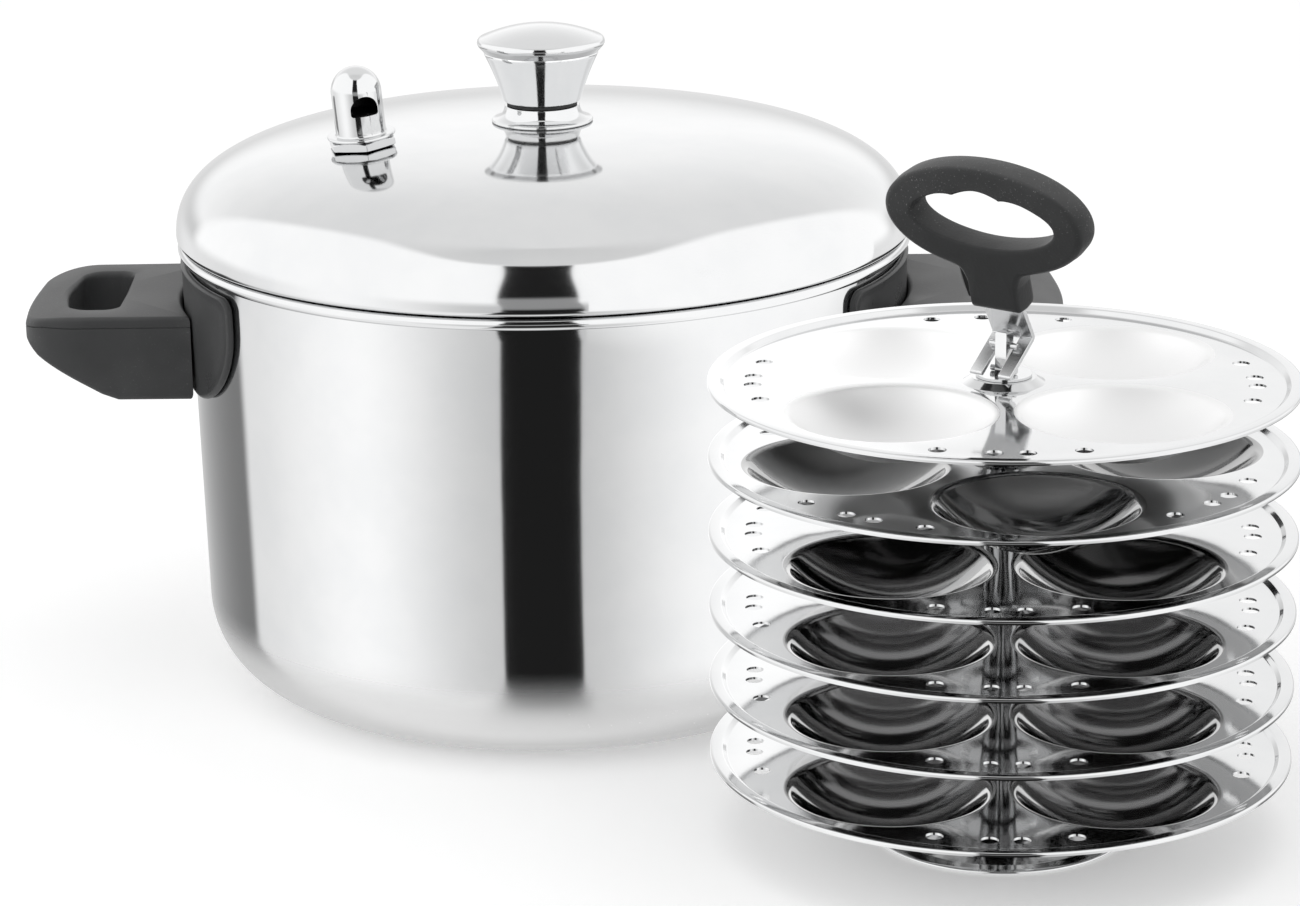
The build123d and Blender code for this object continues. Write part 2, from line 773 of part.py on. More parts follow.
cup_outside = cup_form(plate_sheet)
with BuildPart() as cup_inside:
    with BuildSketch(Plane.XZ):
        with BuildLine():
            turn = degrees(asin(cup_radius / bowl_and_edge))
            bowl = JernArc((0, -cup_depth), (1, 0), bowl_radius, turn)
            edge = JernArc(bowl @ 1, bowl % 1, cup_edge_radius, -turn)
            Line(edge @ 1, (cup_radius, cut_overrun))
            Line((cup_radius, cut_overrun), (0, cut_overrun))
            Line((0, cut_overrun), (0, -cup_depth))
        make_face()
    revolve(axis=Axis.Z)

for number, level in enumerate(plate_levels, start=1):
    bearing = turned_plate_bearing if number == turned_plate else plate_bearing
    web_level = level - plate_lip_rise
    lip_start = plate_radius - plate_lip_width - plate_lip_slope
    plate_plane = Plane(
        origin=(stand_x, stand_y, web_level),
        x_dir=(cos(radians(bearing)), sin(radians(bearing)), 0),
        z_dir=(0, 0, 1),
    )
    plate_section = Plane(origin=(stand_x, stand_y, web_level), x_dir=(1, 0, 0), z_dir=(0, -1, 0))
    with BuildPart() as plate:
        with BuildSketch(plate_section):
            with BuildLine():
                FilletPolyline(
                    (hub_bore, hub_rise),
                    (hub_radius - hub_slope, hub_rise),
                    (hub_radius, 0),
                    (lip_start, 0),
                    (plate_radius - plate_lip_width, plate_lip_rise),
                    (plate_radius, plate_lip_rise),
                    (plate_radius, plate_lip_rise - plate_lip_turn),
                    radius=plate_lip_bend,
                )
                offset(amount=plate_sheet, side=Side.RIGHT)
            make_face()
        revolve(axis=stand_axis)
        cup_places = PolarLocations(cup_circle_radius, cup_count, start_angle=180 / cup_count)
        for place in cup_places:
            add(plate_plane.location * place * cup_outside.part)
        for place in cup_places:
            add(plate_plane.location * place * cup_inside.part, mode=Mode.SUBTRACT)
        with BuildSketch(plate_plane.offset(-cut_overrun)):
            for gap in range(cup_count):
                for angle in steam_hole_angles:
                    with PolarLocations(steam_circle_radius, 1, start_angle=gap * 360 / cup_count + angle):
                        Circle(steam_hole_radius)
        extrude(amount=2 * cut_overrun, mode=Mode.SUBTRACT)
    save(plate, f"plate_{number}")


# Lifter: the forked strap, bent at a knee, and the moulded loop on its tongue
strap_plane = Plane(origin=lifter_plane.origin, x_dir=-lifter_plane.y_dir, z_dir=-lifter_plane.x_dir)
lean = radians(lifter_lean)
grip_origin = lifter_plane.from_local_coords(Vector(0, -neck_forward, neck_level))
grip_up = (-lifter_plane.y_dir) * sin(lean) + Vector(0, 0, 1) * cos(lean)
grip_plane = Plane(origin=grip_origin, x_dir=lifter_plane.x_dir, z_dir=lifter_plane.x_dir.cross(grip_up))

with BuildPart() as lifter_strap:
    with BuildSketch(strap_plane):
        with BuildLine():
            FilletPolyline(
                (foot_forward, foot_level),
                (-knee_back, knee_level),
                (neck_forward, neck_level),
                (neck_forward + strap_tongue * sin(lean), neck_level + strap_tongue * cos(lean)),
                radius=strap_bend,
            )
            offset(amount=strap_sheet / 2, side=Side.BOTH)
        make_face()
    extrude(amount=strap_width / 2, both=True)
    with BuildSketch(lifter_plane.offset(foot_level - cut_overrun)):
        with Locations((0, knee_back / 2 - foot_forward)):
            Rectangle(fork_gap, foot_forward * 2 + knee_back)
    extrude(amount=knee_level - foot_level + 2 * cut_overrun, mode=Mode.SUBTRACT)
save(lifter_strap, "lifter_strap")

with BuildPart() as lifter_grip:
    with BuildSketch(grip_plane):
        with Locations((0, loop_rise)):
            Ellipse(loop_half_width, loop_half_height)
        with BuildLine():
            Polyline(
                (-neck_width / 2, 0),
                (neck_width / 2, 0),
                (neck_flare, loop_rise - loop_half_height / 2),
                (-neck_flare, loop_rise - loop_half_height / 2),
                close=True,
            )
        make_face()
    extrude(amount=loop_thickness / 2, both=True)
    fillet(
        lifter_grip.faces().filter_by(grip_plane).edges(),
        radius=loop_edge_radius,
    )
    with BuildSketch(grip_plane) as finger_hole:
        with Locations((0, loop_rise)):
            Ellipse(hole_half_width, hole_half_height)
    extrude(amount=loop_thickness, both=True, mode=Mode.SUBTRACT)
    with BuildSketch(grip_plane):
        Rectangle(strap_width + 2 * fixed_clearance, 2 * (strap_tongue + strap_sheet))
    extrude(amount=strap_sheet / 2 + fixed_clearance, both=True, mode=Mode.SUBTRACT)
save(lifter_grip, "lifter_grip")
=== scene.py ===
import math
import bmesh
import bpy
import numpy as np
from mathutils import Matrix, Vector
from mathutils.geometry import delaunay_2d_cdt


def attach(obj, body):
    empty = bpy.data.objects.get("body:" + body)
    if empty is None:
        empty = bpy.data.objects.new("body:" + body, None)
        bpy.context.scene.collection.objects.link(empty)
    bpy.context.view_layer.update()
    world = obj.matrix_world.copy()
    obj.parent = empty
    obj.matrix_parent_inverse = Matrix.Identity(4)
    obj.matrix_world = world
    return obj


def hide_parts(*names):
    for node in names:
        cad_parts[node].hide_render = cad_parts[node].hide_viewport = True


# Idli steamer: covered pot, and beside it the stand of idli plates with its lifter.
# Profiles are in millimetres, and each mesh is written in metres.

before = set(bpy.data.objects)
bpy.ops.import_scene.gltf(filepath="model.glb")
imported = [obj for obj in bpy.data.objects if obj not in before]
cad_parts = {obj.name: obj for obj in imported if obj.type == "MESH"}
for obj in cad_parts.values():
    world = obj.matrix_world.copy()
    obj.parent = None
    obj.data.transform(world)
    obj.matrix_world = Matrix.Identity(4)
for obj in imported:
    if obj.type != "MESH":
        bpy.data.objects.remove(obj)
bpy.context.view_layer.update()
MM = 0.001


# Shader maths
class Socket:
    """A shader value whose arithmetic adds the Math nodes that work it out."""

    def __init__(self, tree, socket):
        self.tree = tree
        self.socket = socket

    def maths(self, operation, *values):
        return self.tree.node("ShaderNodeMath", {"operation": operation}, dict(enumerate(values)))

    def __add__(self, other):
        return self.maths("ADD", self, other)

    __radd__ = __add__

    def __mul__(self, other):
        return self.maths("MULTIPLY", self, other)

    __rmul__ = __mul__

    def __sub__(self, other):
        return self.maths("SUBTRACT", self, other)

    def __rsub__(self, other):
        return self.maths("SUBTRACT", other, self)

    def __truediv__(self, other):
        return self.maths("DIVIDE", self, other)

    def __pow__(self, other):
        return self.maths("POWER", self, other)

    def __abs__(self):
        return self.maths("ABSOLUTE", self)

    def rise(self, low, high, start=0.0, end=1.0):
        """Goes smoothly from start to end while the value goes from low to high."""
        return self.tree.node(
            "ShaderNodeMapRange",
            {"interpolation_type": "SMOOTHSTEP", "clamp": True},
            {"Value": self, "From Min": low, "From Max": high, "To Min": start, "To Max": end},
        )


class Tree:
    """A material's or the world's nodes, each added by one method."""

    def __init__(self, owner):
        owner.use_nodes = True
        self.tree = owner.node_tree
        self.tree.nodes.clear()

    def node(self, kind, settings=None, values=None, output=0):
        """Adds a node with its settings, and then with the values or links of its sockets."""
        made = self.tree.nodes.new(kind)
        for name, value in (settings or {}).items():
            setattr(made, name, value)
        for name, value in (values or {}).items():
            socket = made.inputs[name]
            if isinstance(value, Socket):
                self.tree.links.new(value.socket, socket)
            else:
                socket.default_value = value
        return Socket(self, made.outputs[output]) if made.outputs else made

    def mix(self, factor, first, second):
        """Blends two colours by a factor."""
        return self.node(
            "ShaderNodeMix", {"data_type": "RGBA"}, {0: factor, 6: first, 7: second}, output=2
        )

    def noise(self, place, scale, detail=3.0, roughness=0.5):
        """Cloudy noise, with its scale in lumps to the metre."""
        values = {"Vector": place, "Scale": scale, "Detail": detail, "Roughness": roughness}
        return self.node("ShaderNodeTexNoise", {}, values)

    def place(self, turn=(0, 0, 0), shift=(0, 0, 0), scale=(1, 1, 1)):
        """Object coordinates in metres, turned and shifted so that a pattern is centred on a piece."""
        here = self.node("ShaderNodeTexCoord", output=3)
        values = {"Vector": here, "Location": shift, "Rotation": turn, "Scale": scale}
        return self.node("ShaderNodeMapping", {}, values)

    def reach(self, place):
        """Distance of a place from the pattern's upright axis."""
        flat = self.node("ShaderNodeVectorMath", {"operation": "MULTIPLY"}, {0: place, 1: (1, 1, 0)})
        return self.node("ShaderNodeVectorMath", {"operation": "LENGTH"}, {0: flat}, output=1)

    def part(self, place, which):
        """One coordinate of a place: 0, 1 or 2 for x, y or z."""
        return self.node("ShaderNodeSeparateXYZ", {}, {0: place}, output=which)

    def surface(self, height, strength, looks):
        """Ends a material in the principled shader, bumped by a height in metres."""
        bump = self.node("ShaderNodeBump", {}, {"Strength": strength, "Distance": 1.0, "Height": height})
        shader = self.node("ShaderNodeBsdfPrincipled", {}, {**looks, "Normal": bump})
        self.node("ShaderNodeOutputMaterial", {}, {"Surface": shader})


def grey(level, tint=0.0):
    """A grey with a slight cool tint."""
    return (level * (1 - tint), level, level * (1 + tint), 1)


# Steel, phenolic and rubber
RINGS_TO_METRE = 2600


def steel(
    name,
    axis=(0.0, 0.0, 0.0),
    turn=(0, 0, 0),
    tone=0.62,
    gloss=0.05,
    spun=1.0,
    wave=1.0,
    rolled=0.0,
    satin=0.0,
    cup_painted_light=0.0,
    painted_shade_reach=0.0,
    floor_reflection_height=0.0,
):
    """Mirror-polished sheet: polishing rings about the axis, faint clouding, hair scratches and a soft waviness.
    Satin is the cups' extra roughness and cup_painted_light their painted brightness: painted light on the top
    plate's cups and painted shade on the lower ones. painted_shade_reach is the radius about the axis within which
    shade is painted dark into the steel, and floor_reflection_height the height under which the sheet turns satin
    and is painted pale, a painted reflection of the floor. Lengths are in metres."""
    material = bpy.data.materials.new(name)
    tree = Tree(material)
    rotation = Matrix.Rotation(turn[2], 3, "Z") @ Matrix.Rotation(turn[1], 3, "Y") @ Matrix.Rotation(turn[0], 3, "X")
    place = tree.place(turn=turn, shift=tuple(-(rotation @ Vector(axis))))
    reach, upright = tree.reach(place), tree.part(place, 2)
    polish = tree.node("ShaderNodeCombineXYZ", {}, {0: reach * RINGS_TO_METRE, 1: upright * RINGS_TO_METRE, 2: 0.0})
    rings = tree.noise(polish, 1.0, 2.0)
    cloud = tree.noise(place, 38.0, 3.0, 0.6)
    smear = tree.noise(place, 11.0, 2.0, 0.5)
    strokes = tree.noise(tree.place(turn=(0.5, 0.3, 0.9), scale=(900, 30, 900)), 1.0, 3.0, 0.7)
    scratch = strokes.rise(0.66, 0.74) * smear.rise(0.45, 0.62)
    roughness = gloss + rings * (0.018 * spun) + cloud * 0.022 + scratch * 0.05
    colour = tree.mix(cloud.rise(0.3, 0.72), grey(tone, 0.004), grey(tone * 0.965, 0.008))
    metallic = 1.0
    # Painted light and shade: the cups get a brightness of their own, lighter on the top plate and darker in the
    # plates below.
    if cup_painted_light:
        cup = tree.node("ShaderNodeAttribute", {"attribute_name": "cup"}, output=2)
        roughness = roughness + cup * satin
        colour = tree.mix(cup, colour, grey(cup_painted_light))
    # Painted shade: the steel inside the hollow about the axis, low down, is painted dark.
    if painted_shade_reach:
        inside = reach.rise(painted_shade_reach - 0.0003, painted_shade_reach, 1, 0) * upright.rise(0.0192, 0.0202, 1, 0)
        colour = tree.mix(inside, colour, grey(0.03))
        roughness = roughness + inside * 0.45
    # Painted reflection: below a height the sheet is painted pale and matt, for the pale floor that it mirrors.
    if floor_reflection_height:
        painted_floor_reflection = upright.rise(floor_reflection_height * 0.5, floor_reflection_height, 1, 0)
        colour = tree.mix(painted_floor_reflection, colour, grey(0.66))
        roughness = roughness + painted_floor_reflection * 0.2
        metallic = 1.0 - painted_floor_reflection * 0.7
    ripple = tree.noise(place, 26.0, 1.0, 0.4)
    height = ripple * (0.00012 * wave) + rings * (0.0000016 * spun) - scratch * 0.0000012
    if rolled:
        height = height + tree.noise(tree.place(scale=(1, 1, 260)), 3.0, 1.0) * 0.0000025 * rolled
    tree.surface(height, 1.0, {"Base Color": colour, "Metallic": metallic, "Roughness": roughness})
    return material


def phenolic(name, pebble=1.0, dust=1.0, tone=0.036, gloss=0.36, speck=0.35, top_light_strength=1.0):
    """Moulded black phenolic resin: pebbled half gloss, greyer where hands and cloths have rubbed it, and with
    painted light that greys the faces that look up. Pebble is the depth of its grain, dust the strength of the
    rubbed patches, speck that of their pale pits, and top_light_strength that of the painted light on faces that
    look up."""
    material = bpy.data.materials.new(name)
    tree = Tree(material)
    place = tree.place()
    grain = tree.noise(place, 900.0, 3.0, 0.55)
    pits = tree.noise(place, 1300.0, 2.0, 0.6)
    cloud = tree.noise(place, 55.0, 4.0, 0.6)
    patch = tree.noise(place, 17.0, 3.0, 0.55)
    # Painted light: faces that look up are painted greyer, as if lit from above.
    painted_top_light = tree.part(tree.node("ShaderNodeNewGeometry", output=1), 2).rise(0.35, 0.98)
    rubbed = patch.rise(0.42, 0.68) * dust
    specks = pits.rise(0.62, 0.75) * rubbed
    colour = tree.mix(rubbed * 0.55 + cloud * 0.25, grey(tone, 0.02), grey(tone * 2.2, 0.01))
    colour = tree.mix(painted_top_light * (0.03 + cloud * 0.22) * top_light_strength, colour, grey(0.16))
    colour = tree.mix(specks * speck, colour, grey(0.3))
    roughness = gloss + cloud * 0.12 + rubbed * 0.10 - grain * 0.05
    height = grain * (0.000055 * pebble) + pits * (0.000018 * pebble)
    tree.surface(height, 0.9, {"Base Color": colour, "Roughness": roughness, "IOR": 1.22})
    return material


def rubber(name):
    """Matt black silicone with mould dust in its grain."""
    material = bpy.data.materials.new(name)
    tree = Tree(material)
    place = tree.place()
    grain = tree.noise(place, 1500.0, 3.0)
    cloud = tree.noise(place, 120.0, 3.0)
    colour = tree.mix(cloud.rise(0.35, 0.7), grey(0.022), grey(0.05))
    tree.surface(grain * 0.00004, 0.6, {"Base Color": colour, "Roughness": cloud * 0.15 + 0.62})
    return material


# Profiles
def unit(rows):
    """Each row divided by its length."""
    return rows / np.linalg.norm(rows, axis=-1, keepdims=True)


def rounded(corners, radius, steps=10):
    """A polyline whose inner corners are circular arcs: each arc is the rational curve with the weights
    1, cosine of half the turn, 1 on the point before, at and after the corner."""
    p = np.array(corners, float)
    a, b, c = p[:-2], p[1:-1], p[2:]
    before, after = unit(b - a), unit(c - b)
    half = np.arccos(np.clip((before * after).sum(1), -1, 1)) / 2
    reach = (np.broadcast_to(radius, half.shape) * np.tan(half))[:, None]
    s = np.linspace(0, 1, steps)[None, :, None]
    w = np.cos(half)[:, None, None]
    first, middle, last = (b - before * reach)[:, None], b[:, None], (b + after * reach)[:, None]
    start, bulge, end = (1 - s) ** 2, 2 * w * s * (1 - s), s**2
    arcs = (start * first + bulge * middle + end * last) / (start + bulge + end)
    return np.vstack([p[:1], arcs.reshape(-1, p.shape[1]), p[-1:]])


def refined(path, step):
    """The same polyline with no run longer than a step: each run is divided into equal parts."""
    run = np.diff(path, axis=0)
    count = np.maximum(np.ceil(np.linalg.norm(run, axis=1) / step), 1).astype(int)
    owner = np.repeat(np.arange(len(run)), count)
    share = (np.arange(count.sum()) - np.repeat(np.cumsum(count) - count, count)) / count[owner]
    return np.vstack([path[owner] + run[owner] * share[:, None], path[-1:]])


def beside(path, distance):
    """The polyline moved to its left by a distance, each corner along the mean of its two normals."""
    run = unit(np.diff(path, axis=0))
    normal = np.stack([-run[:, 1], run[:, 0]], 1)
    before, after = np.vstack([normal[:1], normal]), np.vstack([normal, normal[-1:]])
    return path + distance * (before + after) / (1 + (before * after).sum(1, keepdims=True))


def turned(centre, radius, start, end, steps):
    """Points of a circular arc about a centre, between two angles in degrees."""
    angle = np.radians(np.linspace(start, end, steps))
    return np.array(centre) + radius * np.stack([np.cos(angle), np.sin(angle)], 1)


def curve(corners, steps):
    """A smooth curve from the first corner to the last, drawn towards those between: at a share t of the way each
    corner has the weight that its term has in (1 - t) + t raised to the number of sides."""
    t = np.linspace(0, 1, steps)[:, None]
    sides = len(corners) - 1
    return sum(math.comb(sides, k) * (1 - t) ** (sides - k) * t**k * np.array(p) for k, p in enumerate(corners))


def lengths(line):
    """Length along a polyline up to each of its points."""
    return np.append(0, np.cumsum(np.linalg.norm(np.diff(line, axis=0), axis=1)))


def rim(path, other, steps=7):
    """Half circle that closes a sheet's edge, from the end of one face to the end of the other."""
    first, last = path[-1], other[-1]
    forward = unit(path[-1] - path[-2]) * np.linalg.norm(first - last) / 2
    angle = np.linspace(0, math.pi, steps)[1:-1, None]
    return (first + last) / 2 + (first - last) / 2 * np.cos(angle) + forward * np.sin(angle)


def sheet(path, thickness, open_start=False):
    """Section of a sheet that follows a path, with its thickness on the path's left, and rounded edges."""
    other = beside(path, thickness)
    section = [path, rim(path, other), other[::-1]]
    if not open_start:
        section.append(rim(other[::-1], path[::-1]))
    return np.vstack(section)


def joined(*paths):
    """Polylines one after another, without their repeated ends."""
    line = np.vstack(paths)
    keep = np.append(True, np.linalg.norm(np.diff(line, axis=0), axis=1) > 1e-6)
    return line[keep]


# Meshes
def grid_faces(rows, columns, close_rows, close_columns):
    """Four-cornered faces of a grid of points, closed in either direction."""
    r = np.arange(rows if close_rows else rows - 1)[:, None]
    c = np.arange(columns if close_columns else columns - 1)[None, :]
    r2, c2 = (r + 1) % rows, (c + 1) % columns
    corners = np.broadcast_arrays(r * columns + c, r2 * columns + c, r2 * columns + c2, r * columns + c2)
    return np.stack(corners, -1).reshape(-1, 4)


def linked(name, data):
    """An object made from a mesh, a lamp or a camera, and put into the scene."""
    item = bpy.data.objects.new(name, data)
    bpy.context.scene.collection.objects.link(item)
    return item


def finish_mesh(name, points, faces, sharp=38.0):
    """A smooth-shaded object from points in millimetres; doubled points, such as a pole's, are merged."""
    mesh = bpy.data.meshes.new(name)
    mesh.from_pydata(np.asarray(points).reshape(-1, 3) * MM, [], faces)
    work = bmesh.new()
    work.from_mesh(mesh)
    bmesh.ops.remove_doubles(work, verts=work.verts, dist=2e-7)
    bmesh.ops.dissolve_degenerate(work, edges=work.edges, dist=1e-8)
    bmesh.ops.recalc_face_normals(work, faces=work.faces)
    work.to_mesh(mesh)
    work.free()
    mesh.shade_smooth()
    mesh.set_sharp_from_angle(angle=math.radians(sharp))
    return linked(name, mesh)


def grid_piece(name, points, close_rows=False, close_columns=False, **looks):
    """A piece from a grid of points, rows by columns."""
    rows, columns = points.shape[:2]
    return finish_mesh(name, points, grid_faces(rows, columns, close_rows, close_columns), **looks)


def revolved(section, turns=256, centre=(0.0, 0.0)):
    """Grid of points of a section of (radius, height) turned about an upright axis."""
    angle = np.arange(turns) / turns * 2 * math.pi
    radius, height = section[:, :1], section[:, 1:2]
    return np.stack(
        [centre[0] + radius * np.cos(angle), centre[1] + radius * np.sin(angle), height + 0 * angle], -1
    )


def lathe(name, section, turns=256, centre=(0.0, 0.0), closed=False, place=None, **looks):
    """A turned piece; a closed section makes a ring, and an open one starts and ends on the axis."""
    points = revolved(section, turns, centre)
    if place is not None:
        points = placed(points, place)
    return grid_piece(name, points, close_rows=closed, close_columns=True, **looks)


def placed(points, place):
    """Points carried from a piece's own frame into the steamer's."""
    return points @ np.array(place.to_3x3()).T + np.array(place.translation)


def settled(piece, sharp=38.0):
    """Keeps what a piece's modifiers make as its mesh, smooth but for its sharp edges."""
    shape = bpy.data.meshes.new_from_object(piece.evaluated_get(bpy.context.evaluated_depsgraph_get()))
    piece.modifiers.clear()
    piece.data = shape
    shape.shade_smooth()
    shape.set_sharp_from_angle(angle=math.radians(sharp))
    return piece


def cut(piece, cutter):
    """Takes a cutter's form out of a piece and keeps the result as its mesh."""
    tool = piece.modifiers.new("cut", "BOOLEAN")
    tool.object = cutter
    tool.operation = "DIFFERENCE"
    tool.solver = "EXACT"
    settled(piece)
    bpy.data.objects.remove(cutter)


def dress(piece, body, slot, material, *nodes):
    """Gives a piece its material, the body it moves with, and the CAD nodes it stands for."""
    piece.data.materials.clear()
    piece.data.materials.append(material)
    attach(piece, body)
    if nodes:
        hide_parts(*nodes)
    return piece


def smoothed(node, body, slot, material, bevel=0.0):
    """A merged, smooth-shaded copy of a CAD node, with its edges eased, that stands for the node."""
    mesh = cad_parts[node].data.copy()
    work = bmesh.new()
    work.from_mesh(mesh)
    bmesh.ops.remove_doubles(work, verts=work.verts, dist=1e-7)
    bmesh.ops.dissolve_limit(work, angle_limit=math.radians(0.5), verts=work.verts, edges=work.edges)
    work.to_mesh(mesh)
    work.free()
    mesh.shade_smooth()
    mesh.set_sharp_from_angle(angle=math.radians(30))
    piece = linked(node + "_finish", mesh)
    if bevel:
        ease = piece.modifiers.new("eased_edges", "BEVEL")
        ease.width = bevel * MM
        ease.segments = 2
        ease.limit_method = "ANGLE"
        ease.angle_limit = math.radians(40)
    return dress(piece, body, slot, material, node)


# Pot: a drawn sheet whose wall leans in a little, with its rim rolled outwards
ROLL_HEIGHT, WALL_TOP, WALL_LEAN, SHEET = 170.0, 134.5, 0.023, 0.9
BASE_BEND, ROLL_RADIUS, ROLL_TURN = 34.1, 2.2, 260


def wall_radius(height):
    """Outside radius of the pot's wall, which leans in a little towards the base."""
    return WALL_TOP - WALL_LEAN * (ROLL_HEIGHT - height)


# The pot's lower wall gets a painted reflection of the floor: pale and matt.
pot_steel = steel("pot_steel", gloss=0.045, spun=0.7, wave=0.6, floor_reflection_height=0.041)
lean = math.degrees(math.atan(WALL_LEAN))
wall = rounded([(0, SHEET), (wall_radius(0) - SHEET, SHEET), (WALL_TOP - SHEET, ROLL_HEIGHT)], BASE_BEND, steps=36)
roll_centre = wall[-1] + ROLL_RADIUS * np.array([math.cos(math.radians(lean)), -math.sin(math.radians(lean))])
roll = turned(roll_centre, ROLL_RADIUS, 180 - lean, 180 - lean - ROLL_TURN, 30)
pot_line = joined(refined(wall, 7.0), roll)
pot = lathe("pot_shell_finish", sheet(pot_line, -SHEET, open_start=True), turns=320)
dress(pot, "pot", "steel", pot_steel, "pot_shell")

# Lid: a pressed dome with a curled edge, and a skirt that hangs inside the pot's rim
LID_EDGE, LID_FOOT, LID_RISE, LID_CROWN = 138.4, 174.9, 38.4, 213.3
CURL, SKIRT_RADIUS, SKIRT_END = 2.4, 132.1, 164.5
BORE = 2.6
lid_steel = steel("lid_steel", gloss=0.05, spun=1.4, wave=0.8)
dome = curve(
    [(LID_EDGE, LID_FOOT), (LID_EDGE, LID_FOOT + LID_RISE * 0.78), (LID_EDGE * 0.69, LID_CROWN), (BORE, LID_CROWN)],
    90,
)
curl_x, curl_low = LID_EDGE - CURL, LID_FOOT - CURL
skirt = rounded([(SKIRT_RADIUS, SKIRT_END), (SKIRT_RADIUS, curl_low), (curl_x, curl_low)], 1.5, steps=8)
lid_line = joined(skirt, turned((curl_x, LID_FOOT), CURL, -90, 0, 14), dome)
lid = lathe("lid_shell_finish", sheet(lid_line, SHEET), turns=320, closed=True)
dress(lid, "lid", "steel", lid_steel, "lid_shell")

# Knob: a flared foot, a dark ring, a pressed cup and a domed cap, one on another
FOOT_LEVEL, FOOT_TOP, CUP_LEVEL, CAP_LEVEL, CAP_TOP = 213.35, 219.5, 221.0, 239.85, 249.8
CAP_REACH, CAP_RISE = 24.7, 5.8
knob_steel = steel("knob_steel", gloss=0.05, spun=2.0, wave=0.3)
# The cup's steel is a lighter copy of the knob's: painted light.
cone_lit_steel = steel("cone_lit_steel", tone=0.79, gloss=0.05, spun=2.0, wave=0.3)
foot_line = joined(
    refined(np.array([(BORE, FOOT_LEVEL), (18.8, FOOT_LEVEL)]), 4),
    turned((18.6, 213.75), 0.4, -70, 70, 8),
    curve([(18.7, 214.3), (14.6, 214.9), (14.0, 219.3)], 24),
    turned((13.7, 219.2), 0.3, 0, 90, 5),
    [(BORE, FOOT_TOP)],
)
knob_foot = lathe("knob_foot_finish", foot_line, turns=160, closed=True)
dress(knob_foot, "lid", "steel", knob_steel, "knob_foot")

cup_path = joined(
    refined(np.array([(BORE, CUP_LEVEL), (13.6, CUP_LEVEL)]), 4),
    turned((13.6, 222.0), 1.0, -90, -12, 8),
    curve([(14.5, 221.35), (16.9, 229.9), (21.3, 238.8)], 30)[2:],
    [(21.4, 239.7)],
)
cup = lathe("knob_cup_finish", sheet(cup_path, 1.0), turns=192, closed=True)
dress(cup, "lid", "steel", cone_lit_steel, "knob_cup")

cap_ball = (CAP_REACH**2 + CAP_RISE**2) / (2 * CAP_RISE)
cap_curve = turned((0.0, CAP_TOP - cap_ball), cap_ball, 90, 90 - math.degrees(math.asin(21.6 / cap_ball)), 40)
cap_path = joined(
    cap_curve,
    rounded([cap_curve[-1], (25.3, 244.1), (21.45, CAP_LEVEL)], 1.9, steps=16)[1:],
    [(20.4, CAP_LEVEL), (20.4, 243.0), (0.0, 243.0)],
)
cap = lathe("knob_cap_finish", refined(cap_path, 2.0), turns=192)
dress(cap, "lid", "steel", knob_steel, "knob_cap")

ring_line = rounded([(2.7, 219.55), (13.2, 219.55), (13.2, 220.95), (2.7, 220.95)], 0.35, steps=5)
knob_ring = lathe("knob_ring_finish", ring_line, turns=128, closed=True)
dress(knob_ring, "lid", "steel", rubber("ring_black"), "knob_ring")

# Steam vent: it stands square to the dome, part of the way up its profile
VENT_SHARE, VENT_BEARING, MOUTH_BEARING = 0.545, -156.2, -69


def heading(bearing):
    """Level direction at a bearing in degrees."""
    return np.array([math.cos(math.radians(bearing)), math.sin(math.radians(bearing)), 0.0])


def on_dome(run):
    """Radius and height of the dome at a length along its profile."""
    return np.array([np.interp(run, dome_run, dome[:, k]) for k in (0, 1)])


dome_run = lengths(dome)
vent_run = VENT_SHARE * dome_run[-1]
vent_spot = on_dome(vent_run)
vent_slope = unit(on_dome(vent_run + 1) - on_dome(vent_run - 1))
out = heading(VENT_BEARING)
vent_up = unit(out * vent_slope[1] - np.array([0, 0, vent_slope[0]]))
mouth_way = heading(MOUTH_BEARING)
mouth_way = unit(mouth_way - vent_up * (mouth_way @ vent_up))
vent_side = np.cross(vent_up, mouth_way)
vent_place = Matrix(np.array([mouth_way, vent_side, vent_up]).T.tolist()).to_4x4()
vent_place.translation = Vector(out * vent_spot[0] + np.array([0, 0, vent_spot[1]]))
vent_grain = {
    "axis": tuple(vent_place.translation * MM),
    "turn": tuple(vent_place.to_3x3().inverted().to_euler()),
    "spun": 1.6,
    "wave": 0.3,
}
vent_steel = steel("vent_steel", **vent_grain)
# Painted shade: the inside of the whistle's bell is painted dark.
whistle_steel = steel("whistle_steel", painted_shade_reach=0.0088, **vent_grain)


def hexagon(angle, width):
    """Distance from the middle to the side of a hexagon in a direction."""
    sixth = math.pi / 3
    return width / 2 / np.cos((angle + sixth / 2) % sixth - sixth / 2)


def nut(name, width, bottom, height, bore, place, turn=0.0, ease=0.5, turns=192):
    """A hexagonal nut: the side follows the hexagon, and both faces are turned down to a cone at the corners."""
    angle = np.arange(turns) / turns * 2 * math.pi
    side = hexagon(angle - math.radians(turn), width)
    corner = np.maximum(side - width / 2 * 1.02, 0) * 0.55
    face, top = width / 2 * 0.94, bottom + height
    rows = [
        (bore, bottom),
        (face, bottom),
        (side - ease * 0.5, bottom + corner * 0.2),
        (side, bottom + corner * 0.2 + ease * 0.5),
        (side, top - corner - ease * 0.5),
        (side - ease * 0.5, top - corner),
        (face, top),
        (bore, top),
    ]
    rings = [np.broadcast_arrays(r * np.cos(angle), r * np.sin(angle), z) for r, z in rows]
    points = np.stack([np.stack(ring, -1) for ring in rings])
    return grid_piece(name, placed(points, place), close_rows=True, close_columns=True, sharp=30)


vent_nut = nut("vent_nut_finish", width=22.8, bottom=0.3, height=3.4, bore=5.0, place=vent_place, turn=20.0)
dress(vent_nut, "lid", "steel", vent_steel, "vent_nut")

